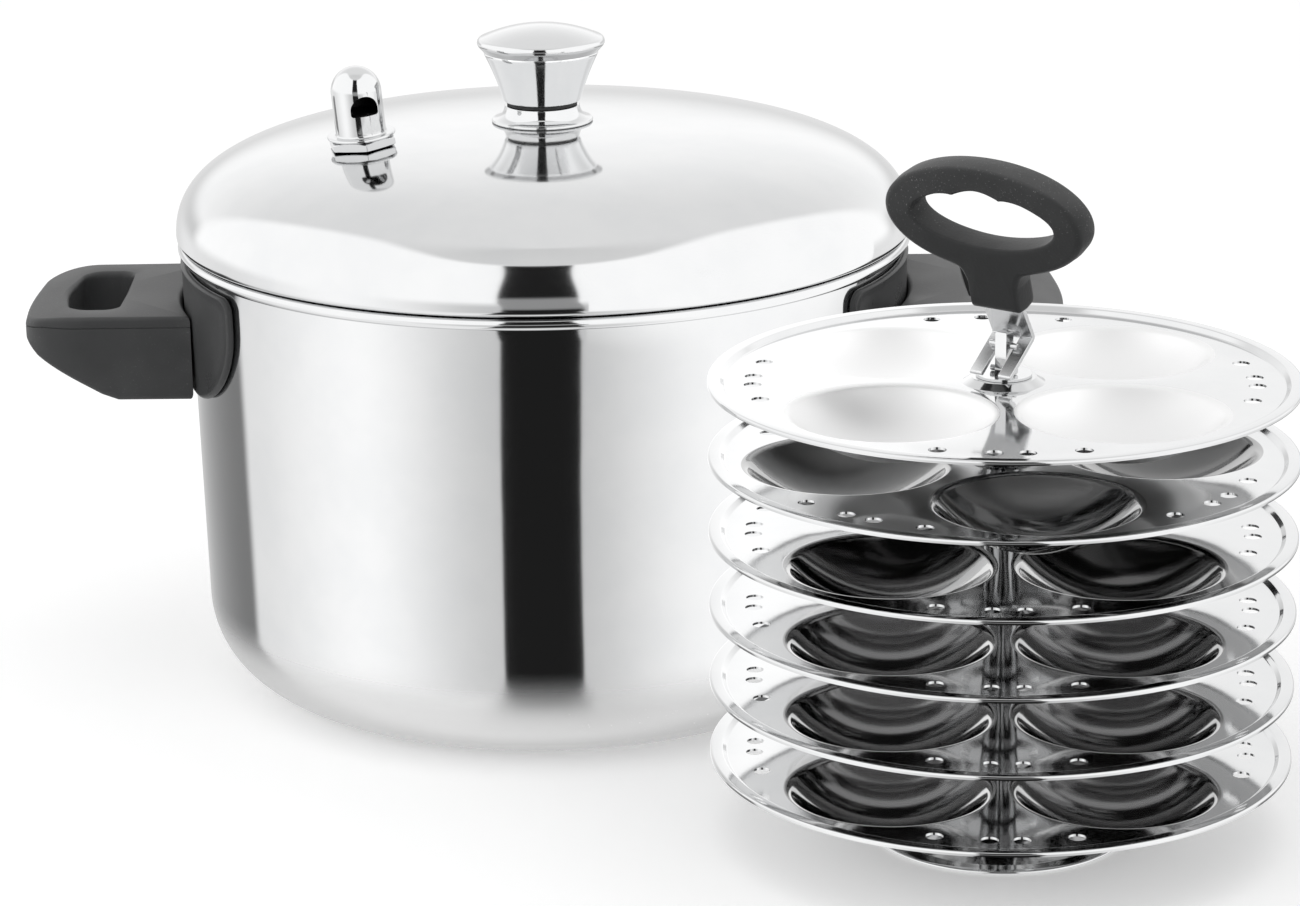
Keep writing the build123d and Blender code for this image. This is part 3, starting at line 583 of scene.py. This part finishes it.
collar_foot, collar_top, collar_reach, collar_ease = 3.7, 4.9, 12.0, 0.6
bell_radius, bell_bore, bell_level = 9.3, 8.4, 20.7
bell = joined(
    turned((collar_reach, collar_foot + collar_ease), collar_ease, -90, 90, 9),
    rounded([(11.9, collar_top), (bell_radius, collar_top), (bell_radius, bell_level)], 0.7, steps=7)[1:],
    turned((0.0, bell_level), bell_radius, 0, 90, 30),
)
hollow = joined(
    turned((0.0, bell_level), bell_bore, 90, 0, 20),
    [(bell_bore, collar_foot), (collar_reach, collar_foot)],
)
whistle_line = joined(refined(bell, 1.2), refined(hollow, 3.0))
whistle = lathe("vent_whistle_finish", whistle_line, turns=192, closed=True, place=vent_place)
sill, rise, half = 12.8, 7.4, 5.2
spring = sill + rise - half
arch = joined(
    rounded([(0, sill), (half, sill), (half, spring)], 1.0, steps=6),
    turned((0, spring), half, 0, 180, 40),
    rounded([(-half, spring), (-half, sill), (0, sill)], 1.0, steps=6)[1:],
)
depth = np.array([3.0, 14.0])
block = np.stack([np.stack([np.full(len(arch), d), arch[:, 0], arch[:, 1]], -1) for d in depth])
middle = np.array([[[d, 0.0, sill + rise / 2]] * len(arch) for d in depth])
cutter = grid_piece("mouth", placed(np.concatenate([middle[:1], block, middle[1:]]), vent_place))
cut(whistle, cutter)
dress(whistle, "lid", "steel", whistle_steel, "vent_whistle")

# Side handles: black grips with a finger slot, each with a curved guard between it and the wall
GRIP_TOP, NOSE_TOP, REACH, HALF = 149.8, 146.0, 61.5, 42.5
SLOT_MIDDLE, GRIP_EASE, ARC = 169.0, 2.4, 7
GUARD_HALF_WIDTH, GUARD_LOW, GUARD_HIGH, GUARD_FALL, GUARD_GAP = 75.6, 119.8, 164.8, 22.4, 0.3
nose_x = wall_radius(GRIP_TOP) + REACH
grip_black = phenolic("grip_phenolic", pebble=0.8, dust=0.9)
guard_black = phenolic("guard_phenolic", pebble=0.25, dust=0.5, gloss=0.25)


def around(corners, count):
    """Points spaced evenly along a closed polyline."""
    line = np.vstack([corners, corners[:1]])
    run = lengths(line)
    at = np.arange(count) / count * run[-1]
    return np.stack([np.interp(at, run, line[:, 0]), np.interp(at, run, line[:, 1])], 1)


def by_angle(line, angle, middle):
    """Points of a closed outline seen from a middle point in given directions."""
    out = line - middle
    way = np.unwrap(np.arctan2(out[:, 1], out[:, 0]))
    order = np.argsort(way)
    reach = np.interp(angle, way[order], np.hypot(out[:, 0], out[:, 1])[order], period=2 * math.pi)
    return middle + reach[:, None] * np.stack([np.cos(angle), np.sin(angle)], 1)


def grip_outline():
    """The grip's outer edge in plan, from the guard round the nose and back."""
    corner = np.array([nose_x - REACH * 0.03, HALF * 0.66])
    side = np.array([nose_x - REACH * 0.40, HALF])
    shoulder = curve([side, (nose_x - REACH * 0.10, HALF), corner], 30)
    share = np.linspace(1, 0, 20)
    bow = np.stack([corner[0] + (nose_x - corner[0]) * np.cos(share * math.pi / 2), corner[1] * share], 1)
    root_y = np.linspace(0, HALF, 24)
    root = np.stack([np.sqrt((wall_radius(134) + 3.4) ** 2 - root_y**2), root_y], 1)
    heel = rounded([root[-1], (root[-1, 0] + 1.2, HALF), side], 1.0, steps=5)
    upper = joined(root, heel, shoulder, bow)
    return joined(upper, (upper * (1, -1))[::-1])[:-1]


def grip_levels(x):
    """Top and bottom of the grip at a distance from the pot's axis: the top bows down to the nose, and the
    underside rises towards it in slants."""
    flat_x, toe_x, heel_x = nose_x - REACH * 0.35, nose_x - REACH * 0.14, nose_x - REACH * 0.55
    past = np.clip((x - flat_x) / (nose_x - flat_x), 0, 1.05)
    top = GRIP_TOP - (GRIP_TOP - NOSE_TOP) * past**2
    slants_x = [heel_x - 3, heel_x + 3, toe_x - 2, toe_x + 2, nose_x]
    return top, np.interp(x, slants_x, [118.0, 120.2, 131.6, 133.8, 139.0])


def handle_grip(name, side, count=360):
    """A bar swept round the finger slot: each section runs between the slot's edge and the outer edge,
    with rounded corners of one radius, a parting groove, and the slanted underside."""
    slot = rounded(
        [(170, 28), (159.1, 28), (159.1, -28), (177, -28), (181, 0), (177, 28), (170, 28)],
        [6, 6, 9, 60, 9],
        steps=14,
    )[:-1]
    middle = np.array([SLOT_MIDDLE, 0.0])
    angle = np.linspace(-math.pi, math.pi, count, endpoint=False)
    inner, outer = (by_angle(refined(line, 0.5), angle, middle) for line in (slot, grip_outline()))
    width = np.linalg.norm(outer - inner, axis=1)[:, None]
    way = (outer - inner) / width
    corner = np.array([[1, -1], [1, 1], [-1, 1], [-1, -1]], float)
    corner_x, corner_z = np.repeat(corner, ARC, axis=0).T
    bend = (np.radians(np.linspace(-90, 0, ARC)) + np.arange(4)[:, None] * math.pi / 2).ravel()
    place = (width / 2) * (1 + corner_x) + GRIP_EASE * (np.cos(bend) - corner_x)
    plan = inner[:, None, :] + way[:, None, :] * place[..., None]
    top, bottom = grip_levels(plan[..., 0])
    level = np.where(corner_z > 0, top - GRIP_EASE, bottom + GRIP_EASE)
    points = np.concatenate([plan, (level + GRIP_EASE * np.sin(bend))[..., None]], -1)
    return grid_piece(name, grooved(points) * (side, 1, 1), close_rows=True, close_columns=True, sharp=55)


def grooved(points):
    """Adds rows up the outer and inner sides, with a fine V groove where the two mould halves met. A section's
    four rounded corners follow one another: outer low, outer high, inner high and inner low."""
    low, high = points[:, ARC - 1], points[:, ARC]
    outwards = unit(points[:, 2 * ARC - 1, :2] - points[:, 2 * ARC, :2])
    seam = np.array([145.1, 145.45, 145.75, 146.05, 146.4])
    clear = np.array([0.9, 0.6, 0.45, 0.3, 0.05])
    sink = np.array([0, 0.06, 0.55, 0.06, 0])
    level = np.minimum(seam, high[:, 2:] - clear)
    share = np.clip((level - low[:, 2:]) / (high[:, 2:] - low[:, 2:]), 0.05, 0.98)
    rows = low[:, None, :] + (high - low)[:, None, :] * share[..., None]
    rows[..., :2] -= outwards[:, None, :] * sink[:, None]
    inner_high, inner_low = points[:, 3 * ARC - 1 : 3 * ARC], points[:, 3 * ARC : 3 * ARC + 1]
    inner_rows = [(inner_high * 2 + inner_low) / 3, (inner_high + inner_low * 2) / 3]
    return np.concatenate([points[:, :ARC], rows, points[:, ARC : 3 * ARC], *inner_rows, points[:, 3 * ARC :]], 1)


def handle_guard(name, side, count=360):
    """A curved shield wrapped round the wall: distance from its middle to its edge, the thickness rounding
    off at a rolled edge, and a flat back."""
    middle, half_height = (GUARD_LOW + GUARD_HIGH) / 2, (GUARD_HIGH - GUARD_LOW) / 2
    right = [(0, -half_height), (GUARD_HALF_WIDTH, -half_height), (GUARD_HALF_WIDTH, half_height)]
    box = rounded(right + [(-x, z) for x, z in right[::-1]], [33.0, 5.0, 5.0, 33.0], steps=16)[:-1]
    edge = around(refined(box, 0.5), count)
    # From the middle over the front, round the edge and along the back: how far in from the edge each row
    # lies, and how far it stands off the guard's back.
    inset = [17, 12, 8, 5.0, 4.0, 3.2, 2.5, 1.9, 1.4, 1.0, 0.65, 0.35, 0.1, 0.0, 0.05, 0.2, 0.5, 3.0]
    inset = np.array([GUARD_FALL, *inset, GUARD_FALL])
    front = [2.3, 2.3, 2.3, 2.3, 2.28, 2.24, 2.28, 2.38, 2.5, 2.58, 2.6, 2.5, 2.2, 1.7]
    stand = np.array(front + [1.2, 0.7, 0.35, 0.1, 0.0, 0.0])
    reach = np.clip(1 - inset / GUARD_FALL, 0, 1)[:, None, None]
    core = np.sign(edge) * np.maximum(np.abs(edge) - GUARD_FALL, 0) * np.array([1, 0])
    plan = core[None] + (edge - core)[None] * reach
    height = middle + plan[..., 1]
    radius = wall_radius(height) + GUARD_GAP + stand[:, None]
    bearing = np.arcsin(plan[..., 0] / wall_radius(middle))
    points = np.stack([side * radius * np.cos(bearing), radius * np.sin(bearing), height], -1)
    return grid_piece(name, points, close_columns=True, sharp=60)


for side, word in ((1, "right"), (-1, "left")):
    grip = handle_grip(f"{word}_grip_finish", side)
    dress(grip, "pot", "bakelite", grip_black, f"{word}_handle_grip")
    guard = handle_guard(f"{word}_guard_finish", side)
    dress(guard, "pot", "bakelite", guard_black, f"{word}_handle_guard")

# Stand: six plates on a rod over a foot
STAND = np.array([158.0, -180.5])
PLATE_TOP, SPACING, LIP_RISE, PLATE_SHEET = 161.75, 26.35, 1.8, 0.8
CUP_RADIUS, CUP_DEPTH, CUP_FLARE, CUP_CIRCLE = 36.0, 14.5, 4.5, 53.6
HOLE_RADIUS, HOLE_CIRCLE, HOLE_BEARINGS = 3.0, 84.5, (-16.0, -3.6, 3.6, 16.0)
PLATE_BEARING, TURNED_PLATE, TURNED_BEARING = 266.6, 2, 232.0
stand_shift = (STAND[0] * MM, STAND[1] * MM, 0.0)
foot_steel = steel("foot_steel", axis=stand_shift, gloss=0.06, spun=1.5)
rod_steel = steel("rod_steel", axis=stand_shift, gloss=0.08, spun=2.0, wave=0.2)
foot_path = rounded([(45, 0.05), (39.5, 0.05), (14, 9), (3.3, 9)], 2.0, steps=8)
stand_foot = lathe("stand_foot_finish", sheet(refined(foot_path, 2.5), -1.0), turns=192, centre=STAND, closed=True)
dress(stand_foot, "stand", "steel", foot_steel, "stand_foot")


def circle(centre, radius, count, start=0.0):
    """Points of a circle."""
    angle = start + np.arange(count) / count * 2 * math.pi
    return np.array(centre) + radius * np.stack([np.cos(angle), np.sin(angle)], 1)


def idli_plate(name, number, bearing):
    """Top face of a plate: a flat web between circles, four ball-shaped cups that flare into it,
    a raised hub and a stepped, turned-down lip; a Solidify gives the sheet's thickness."""
    web = PLATE_TOP - (number - 1) * SPACING - LIP_RISE
    lip = [(90, 0), (94.05, 0), (95.65, LIP_RISE), (99.85, LIP_RISE), (99.85, 0.3)]
    lip_line = rounded(lip, 0.85, steps=7)[1:]
    hub_line = rounded([(3.35, 2.0), (11.0, 2.0), (14.0, 0.0), (20.0, 0.0)], 0.85, steps=7)[:-1]
    lip_turns, hub_turns, cup_turns, hole_turns = 256, 96, 120, 28
    ball = (CUP_RADIUS**2 + CUP_DEPTH**2) / (2 * CUP_DEPTH)
    flare_turn = math.degrees(math.asin(CUP_RADIUS / ball))
    bowl = joined(
        turned((0, ball - CUP_FLARE - CUP_DEPTH), ball - CUP_FLARE, -90, -90 + flare_turn, 26),
        turned((CUP_RADIUS, -CUP_FLARE), CUP_FLARE, 90 + flare_turn, 90, 12),
    )
    cup_centres = circle((0, 0), CUP_CIRCLE, 4, math.radians(bearing) + math.pi / 4)
    quarters = np.arange(4)[:, None] * math.pi / 2
    hole_angle = (math.radians(bearing) + quarters + np.radians(HOLE_BEARINGS)).ravel()
    hole_centres = HOLE_CIRCLE * np.stack([np.cos(hole_angle), np.sin(hole_angle)], 1)
    web_edge, hub_edge = lip_line[0, 0], hub_line[-1, 0]
    loops = [circle((0, 0), web_edge, lip_turns), circle((0, 0), hub_edge, hub_turns)]
    loops += [circle(c, CUP_RADIUS, cup_turns) for c in cup_centres]
    loops += [circle(c, HOLE_RADIUS, hole_turns) for c in hole_centres]
    starts = np.cumsum([0] + [len(loop) for loop in loops])
    edges = [
        np.stack([np.arange(a, b), np.roll(np.arange(a, b), -1)], 1) for a, b in zip(starts[:-1], starts[1:])
    ]
    found = delaunay_2d_cdt([Vector(p) for p in np.vstack(loops)], np.vstack(edges).tolist(), [], 0, 1e-5)
    spots, triangles = np.array(found[0]), np.array(found[2])

    # The web keeps the triangles whose middles lie outside every opening, less what the circles' chords cut off.
    heart = spots[triangles].mean(1)
    keep = np.linalg.norm(heart, axis=1) > hub_edge - 0.003
    keep &= np.linalg.norm(heart[:, None] - cup_centres[None], axis=2).min(1) > CUP_RADIUS - 0.01
    keep &= np.linalg.norm(heart[:, None] - hole_centres[None], axis=2).min(1) > HOLE_RADIUS - 0.03
    keep &= np.linalg.norm(heart, axis=1) < web_edge
    points = [np.column_stack([spots, np.zeros(len(spots))])]
    faces = triangles[keep].tolist()
    grids = [revolved(lip_line, lip_turns), revolved(hub_line, hub_turns)]
    for grid in grids + [revolved(bowl, cup_turns, c) for c in cup_centres]:
        faces += (grid_faces(*grid.shape[:2], False, True) + sum(len(p) for p in points)).tolist()
        points.append(grid.reshape(-1, 3))
    plate = finish_mesh(name, np.vstack(points) + np.array([*STAND, web]), faces, sharp=50)
    if np.mean([face.normal.z for face in plate.data.polygons[:2]]) < 0:
        plate.data.flip_normals()

    # The cups are marked, so that they can have a roughness of their own and painted light and shade in their
    # colour.
    corners = np.empty(3 * len(plate.data.vertices))
    plate.data.vertices.foreach_get("co", corners)
    from_cups = corners.reshape(-1, 3)[:, None, :2] / MM - (STAND + cup_centres)[None]
    in_cup = (np.linalg.norm(from_cups, axis=2).min(1) < CUP_RADIUS - 0.5).astype(float)
    plate.data.attributes.new("cup", "FLOAT", "POINT").data.foreach_set("value", in_cup)
    wall = plate.modifiers.new("sheet", "SOLIDIFY")
    wall.thickness = PLATE_SHEET * MM
    wall.offset = -1.0
    wall.use_even_offset = True
    return settled(plate, 50)


for number in range(1, 7):
    top = number == 1
    # Painted light and shade: the top plate's cups are painted lighter, the lower plates' cups darker and the turned
    # plate's darkest, and the top plate's steel a shade darker.
    plate_steel = steel(
        f"plate_{number}_steel",
        axis=stand_shift,
        tone=0.59 if top else 0.6,
        spun=1.2,
        wave=0.35,
        satin=0.35 if top else 0.01,
        cup_painted_light=0.77 if top else 0.46 - 0.14 * (number == TURNED_PLATE),
    )
    bearing = TURNED_BEARING if number == TURNED_PLATE else PLATE_BEARING
    plate = idli_plate(f"plate_{number}_finish", number, bearing)
    dress(plate, f"plate_{number}_body", "steel", plate_steel, f"plate_{number}")

# Lifter: a moulded loop on a forked strap that leans on the rod's pin
LIFTER_BEARING, LIFTER_TILT, NECK_LEVEL = -38.0, 16.7, 186.5
LOOP_RISE, LOOP_THICK = 34.1, 5.5
across = heading(LIFTER_BEARING)
back = np.array([-across[1], across[0], 0.0])
tilt = math.radians(LIFTER_TILT)
up = -back * math.sin(tilt) + np.array([0, 0, math.cos(tilt)])
face = np.cross(across, up)
neck_foot = np.array([STAND[0], STAND[1], NECK_LEVEL]) - back * 0.7
# The loop's faces that look up get a stronger painted light.
lifter_black = phenolic("lifter_phenolic", pebble=1.8, dust=1.2, tone=0.024, speck=0.8, top_light_strength=1.9)


def loop_side(ease, start, steps):
    """A rounded side of the loop's section, over half a turn from a start in degrees: two arcs of one radius
    with a point between them. Gives how far it reaches out, and its depth."""
    half = np.linspace(0, 88, steps)
    bend = np.radians(start + np.concatenate([half, [90], half + 92]))
    depth = (LOOP_THICK - ease) * np.sign(np.round(np.sin(bend), 6)) + ease * np.sin(bend)
    return ease * np.cos(bend), depth


def lifter_loop(name, count=720):
    """The moulded loop in its own plane: each section runs from the finger hole, with its scallops, to the
    outer edge, an ellipse that blends into the neck, and rounds over on both faces."""
    angle = np.linspace(-math.pi, math.pi, count, endpoint=False)
    c, s = np.cos(angle), np.sin(angle)
    half_width, half_height = 39.0, 20.0
    ellipse = 1 / np.sqrt((c / half_width) ** 2 + (s / half_height) ** 2)
    right = [(9.5, -LOOP_RISE), (9.6, -25), (12.2, -17), (17, -8)]
    neck = rounded([(-x, z) for x, z in right[::-1]] + right, [14, 8, 0.8, 0.8, 8, 14], steps=8)
    neck = refined(neck, 0.3)
    way = np.arctan2(neck[:, 1], neck[:, 0])
    order = np.argsort(way)
    spoke = np.interp(angle, way[order], np.hypot(neck[:, 0], neck[:, 1])[order], left=0, right=0)
    sharpness = 14.0
    outer = (ellipse**sharpness + spoke**sharpness) ** (1 / sharpness)
    outer = np.where(spoke > ellipse * 1.25, spoke, outer)
    hole_half_width, hole_half_height = 27.5, 9.6
    hole = 1 / np.sqrt((c / hole_half_width) ** 2 + (s / hole_half_height) ** 2)
    hole_x = hole * c
    scallop_width, scallop_depth = 19.0, 2.6
    wave = np.abs(np.cos((hole_x + 1.0) / scallop_width * math.pi)) ** 0.75 - 0.55
    fade = np.clip((22 - np.abs(hole_x)) / 6, 0, 1)
    hole = hole + np.where(s > 0, wave, 0.0) * scallop_depth * fade * np.abs(s)
    outer_ease, inner_ease = 2.0, 1.5
    outer_reach, outer_depth = loop_side(outer_ease, -90, 9)
    inner_reach, inner_depth = loop_side(inner_ease, 90, 7)
    outer_rows = outer[:, None] - outer_ease + outer_reach - 0.9 * (outer_depth / LOOP_THICK) ** 2
    inner_rows = hole[:, None] + inner_ease + inner_reach + 0.5 * (inner_depth / LOOP_THICK) ** 2
    radius = np.concatenate([outer_rows, inner_rows], 1)
    depth = np.broadcast_to(np.concatenate([outer_depth, inner_depth]), radius.shape)
    local = np.stack([radius * c[:, None], LOOP_RISE + radius * s[:, None], depth], -1)
    points = neck_foot + local[..., :1] * across + local[..., 1:2] * up + local[..., 2:3] * face
    return grid_piece(name, points, close_rows=True, close_columns=True, sharp=70)


loop = lifter_loop("lifter_grip_finish")
dress(loop, "lifter", "bakelite", lifter_black, "lifter_grip")

# Small metal and rubber parts
small_steel = steel("small_steel", gloss=0.09, spun=0.6, wave=0.1, tone=0.6)
# The languid's steel is nearly black: painted shade inside the whistle.
dark_steel = steel("languid_steel", gloss=0.45, spun=0.6, wave=0.1, tone=0.04)
strap_steel = steel("strap_steel", gloss=0.2, spun=0.3, wave=0.05, rolled=1.0)
for node, body, finish, bevel in (
    ("knob_core", "lid", small_steel, 0.2),
    ("knob_washer", "lid", small_steel, 0.1),
    ("knob_screw", "lid", small_steel, 0.1),
    ("vent_stem", "lid", small_steel, 0.2),
    ("vent_languid", "lid", dark_steel, 0.0),
    ("vent_lock_nut", "lid", small_steel, 0.2),
    ("right_handle_bracket", "pot", small_steel, 0.0),
    ("left_handle_bracket", "pot", small_steel, 0.0),
    ("handle_screws", "pot", small_steel, 0.2),
    ("stand_foot_nut", "stand", small_steel, 0.2),
    ("stand_rod", "stand", rod_steel, 0.0),
    ("spacer_sleeves", "stand", rod_steel, 0.15),
    ("top_washer", "stand", rod_steel, 0.12),
    ("retaining_pin", "stand", small_steel, 0.15),
    ("lifting_pin", "stand", small_steel, 0.15),
    ("lifter_strap", "lifter", strap_steel, 0.18),
):
    smoothed(node, body, "steel", finish, bevel)
smoothed("vent_gasket", "lid", "rubber", rubber("gasket_black"), 0.2)


# Studio. The light panels' level, and the strength of the light that gloss sees
PANEL, GLOSS_LIGHT = 1.06, 1.45


def studio_world():
    """White to the camera. In reflections the sky is a room: white panels up to about 65 degrees with a dark
    gap in front, a grey ceiling and back, and a pale ground with a dark band at the far left and right."""
    world = bpy.data.worlds.new("studio")
    bpy.context.scene.world = world
    tree = Tree(world)
    way = tree.node("ShaderNodeTexCoord", output=0)
    x, y, z = (tree.part(way, k) for k in range(3))
    degree = 180 / math.pi
    elevation = z.maths("ARCSINE", z) * degree
    azimuth = abs(x.maths("ARCTAN2", x, 0 - y)) * degree
    ceiling = elevation.rise(60, 90, 0.70, 0.66)
    rear = elevation.rise(8, 45, 0.93, 0.78) * elevation.rise(2, 13, 0.66, 1)
    above = azimuth.rise(60, 135, 1, 0) * ceiling + azimuth.rise(60, 135, 0, 1) * rear
    raised = elevation.maths("MAXIMUM", elevation, 0)
    oval = (azimuth / 136) ** 6 + (raised / azimuth.rise(0, 90, 62, 68)) ** 6
    inside = oval.rise(0.75, 1.15, 1, 0)
    upper = above + (PANEL - above) * inside
    ground_side = azimuth.rise(12, 62, 0.62, PANEL) * azimuth.rise(62, 116, 1.0, 0.76)
    ground_side = ground_side * azimuth.rise(140, 165, 1, 0.72)
    dark_side = azimuth.rise(113, 118) * elevation.rise(-16.3, -14.3, 1, 0)
    ground_side = ground_side + (azimuth.rise(118, 172, 0.20, 0.46) - ground_side) * dark_side
    deep = elevation.rise(-48, -20, 0, 1)
    lower = deep * ground_side + (1 - deep) * y.rise(0.02, 0.5, 0.9, 0.5)
    level = elevation.rise(-9, 1)
    room = level * upper + (1 - level) * lower
    half_gap = elevation.rise(0, 62, 0.208, 0.137)
    middle_gap = elevation.rise(-20.5, -15, 0.024, -0.007) + elevation.rise(-10, 0, 0, 0.025)
    gap = (abs(x + middle_gap) - half_gap).rise(-0.006, 0.006, 1, 0) * y.rise(-0.05, 0.02, 1, 0)
    gap = gap * elevation.rise(60, 63, 1, 0) * elevation.rise(-86, -44, 0.3, 1)
    low_light = elevation.rise(-13, -9) * elevation.rise(2, 9, 1, 0)
    gap_level = 0.013 + low_light * 0.28 + elevation.rise(-80, -40, 0.62, 0)
    room = room + (gap_level - room) * gap
    camera_ray = tree.node("ShaderNodeLightPath", output="Is Camera Ray")
    glossy_ray = tree.node("ShaderNodeLightPath", output="Is Glossy Ray")
    plain = 0.85
    strength = plain + (room * GLOSS_LIGHT - plain) * glossy_ray
    strength = strength + (1.0 - strength) * camera_ray
    light = tree.node("ShaderNodeBackground", {}, {"Color": strength, "Strength": 1.0})
    tree.node("ShaderNodeOutputWorld", {}, {"Surface": light})


def flat_paper(name, corners):
    """A flat sheet of paper in the studio, by its four corners in metres, with its material's tree."""
    mesh = bpy.data.meshes.new(name)
    mesh.from_pydata(corners, [], [(0, 1, 2, 3)])
    material = bpy.data.materials.new(name + "_paper")
    mesh.materials.append(material)
    return linked(name, mesh), Tree(material)


def studio_card():
    """White card between the pot and the stand that only reflections see, so that each keeps clear of the other's
    image: its light follows what the pot's wall mirrors to its left and right."""
    # Outward goes from the pot to the stand, and along is level and square to it.
    outward, along = Vector((0.6586, -0.7525, 0)), Vector((0.7525, 0.6586, 0))
    outline = ((-0.089, -0.2), (0.104, -0.2), (0.104, 0.24), (-0.089, 0.24))
    card, tree = flat_paper("card", [outward * 0.1391 + along * s + Vector((0, 0, z)) for s, z in outline])
    place = tree.place(turn=(0, 0, -math.atan2(along.y, along.x)))
    across, height = tree.part(place, 0), tree.part(place, 2)
    level = across.rise(-0.095, -0.02, 0.62, PANEL) * across.rise(-0.02, 0.104, 1.0, 0.75)
    level = level + (PANEL - level) * height.rise(0.150, 0.170)
    glow = tree.node("ShaderNodeEmission", {}, {"Color": level * GLOSS_LIGHT, "Strength": 1.0})
    clear = tree.node("ShaderNodeBsdfTransparent", {}, {"Color": (1, 1, 1, 1)})
    seen = height.rise(0.185, 0.238, 1, 0) * height.rise(-0.14, -0.005)
    both = tree.node("ShaderNodeMixShader", {}, {0: seen, 1: clear, 2: glow})
    tree.node("ShaderNodeOutputMaterial", {}, {"Surface": both})
    card.visible_camera = card.visible_diffuse = card.visible_shadow = card.visible_transmission = False


def studio_floor():
    """Pale floor that glows white to the camera where nothing shades it, and keeps the steamer's shadow."""
    half, level = 6, -0.0004
    corners = [(-half, -half, level), (half, -half, level), (half, half, level), (-half, half, level)]
    floor, tree = flat_paper("floor", corners)
    paper = tree.node("ShaderNodeBsdfDiffuse", {}, {"Color": (0.9, 0.9, 0.9, 1)})
    glow = tree.node("ShaderNodeEmission", {}, {"Color": (1, 1, 1, 1), "Strength": 0.205})
    both = tree.node("ShaderNodeAddShader", {}, {0: paper, 1: glow})
    tree.node("ShaderNodeOutputMaterial", {}, {"Surface": both})
    floor.visible_glossy = False


def soft_lamp(name, place, target, size, power):
    """A square soft lamp turned towards a point."""
    lamp = bpy.data.lights.new(name, "AREA")
    lamp.energy = power
    lamp.size = size
    item = linked(name, lamp)
    item.location = place
    item.rotation_euler = (Vector(target) - Vector(place)).to_track_quat("-Z", "Y").to_euler()
    item.visible_glossy = False


studio_world()
studio_floor()
studio_card()
soft_lamp("top_lamp", place=(0.1, -0.5, 1.6), target=(0.08, -0.1, 0.1), size=1.4, power=4)
soft_lamp("left_lamp", place=(-1.2, -0.9, 0.9), target=(0.0, -0.1, 0.1), size=0.9, power=3)

# Camera, solved from the photograph: its focal length in pixels, and the picture's and the sensor's width
FOCAL_PIXELS, PICTURE_WIDTH, SENSOR = 4074.0, 1300, 36.0
camera = bpy.data.cameras.new("camera")
camera.sensor_width = SENSOR
camera.lens = FOCAL_PIXELS / PICTURE_WIDTH * SENSOR
camera.clip_end = 50
viewer = linked("camera", camera)
pitch, roll_angle = 0.290, -0.013
looking = Matrix.Rotation(math.pi / 2 - pitch, 4, "X") @ Matrix.Rotation(roll_angle, 4, "Z")
viewer.matrix_world = Matrix.Translation((0.0387, -1.5, 0.5301)) @ looking
bpy.context.scene.camera = viewer
bpy.context.scene.view_settings.view_transform = "Standard"
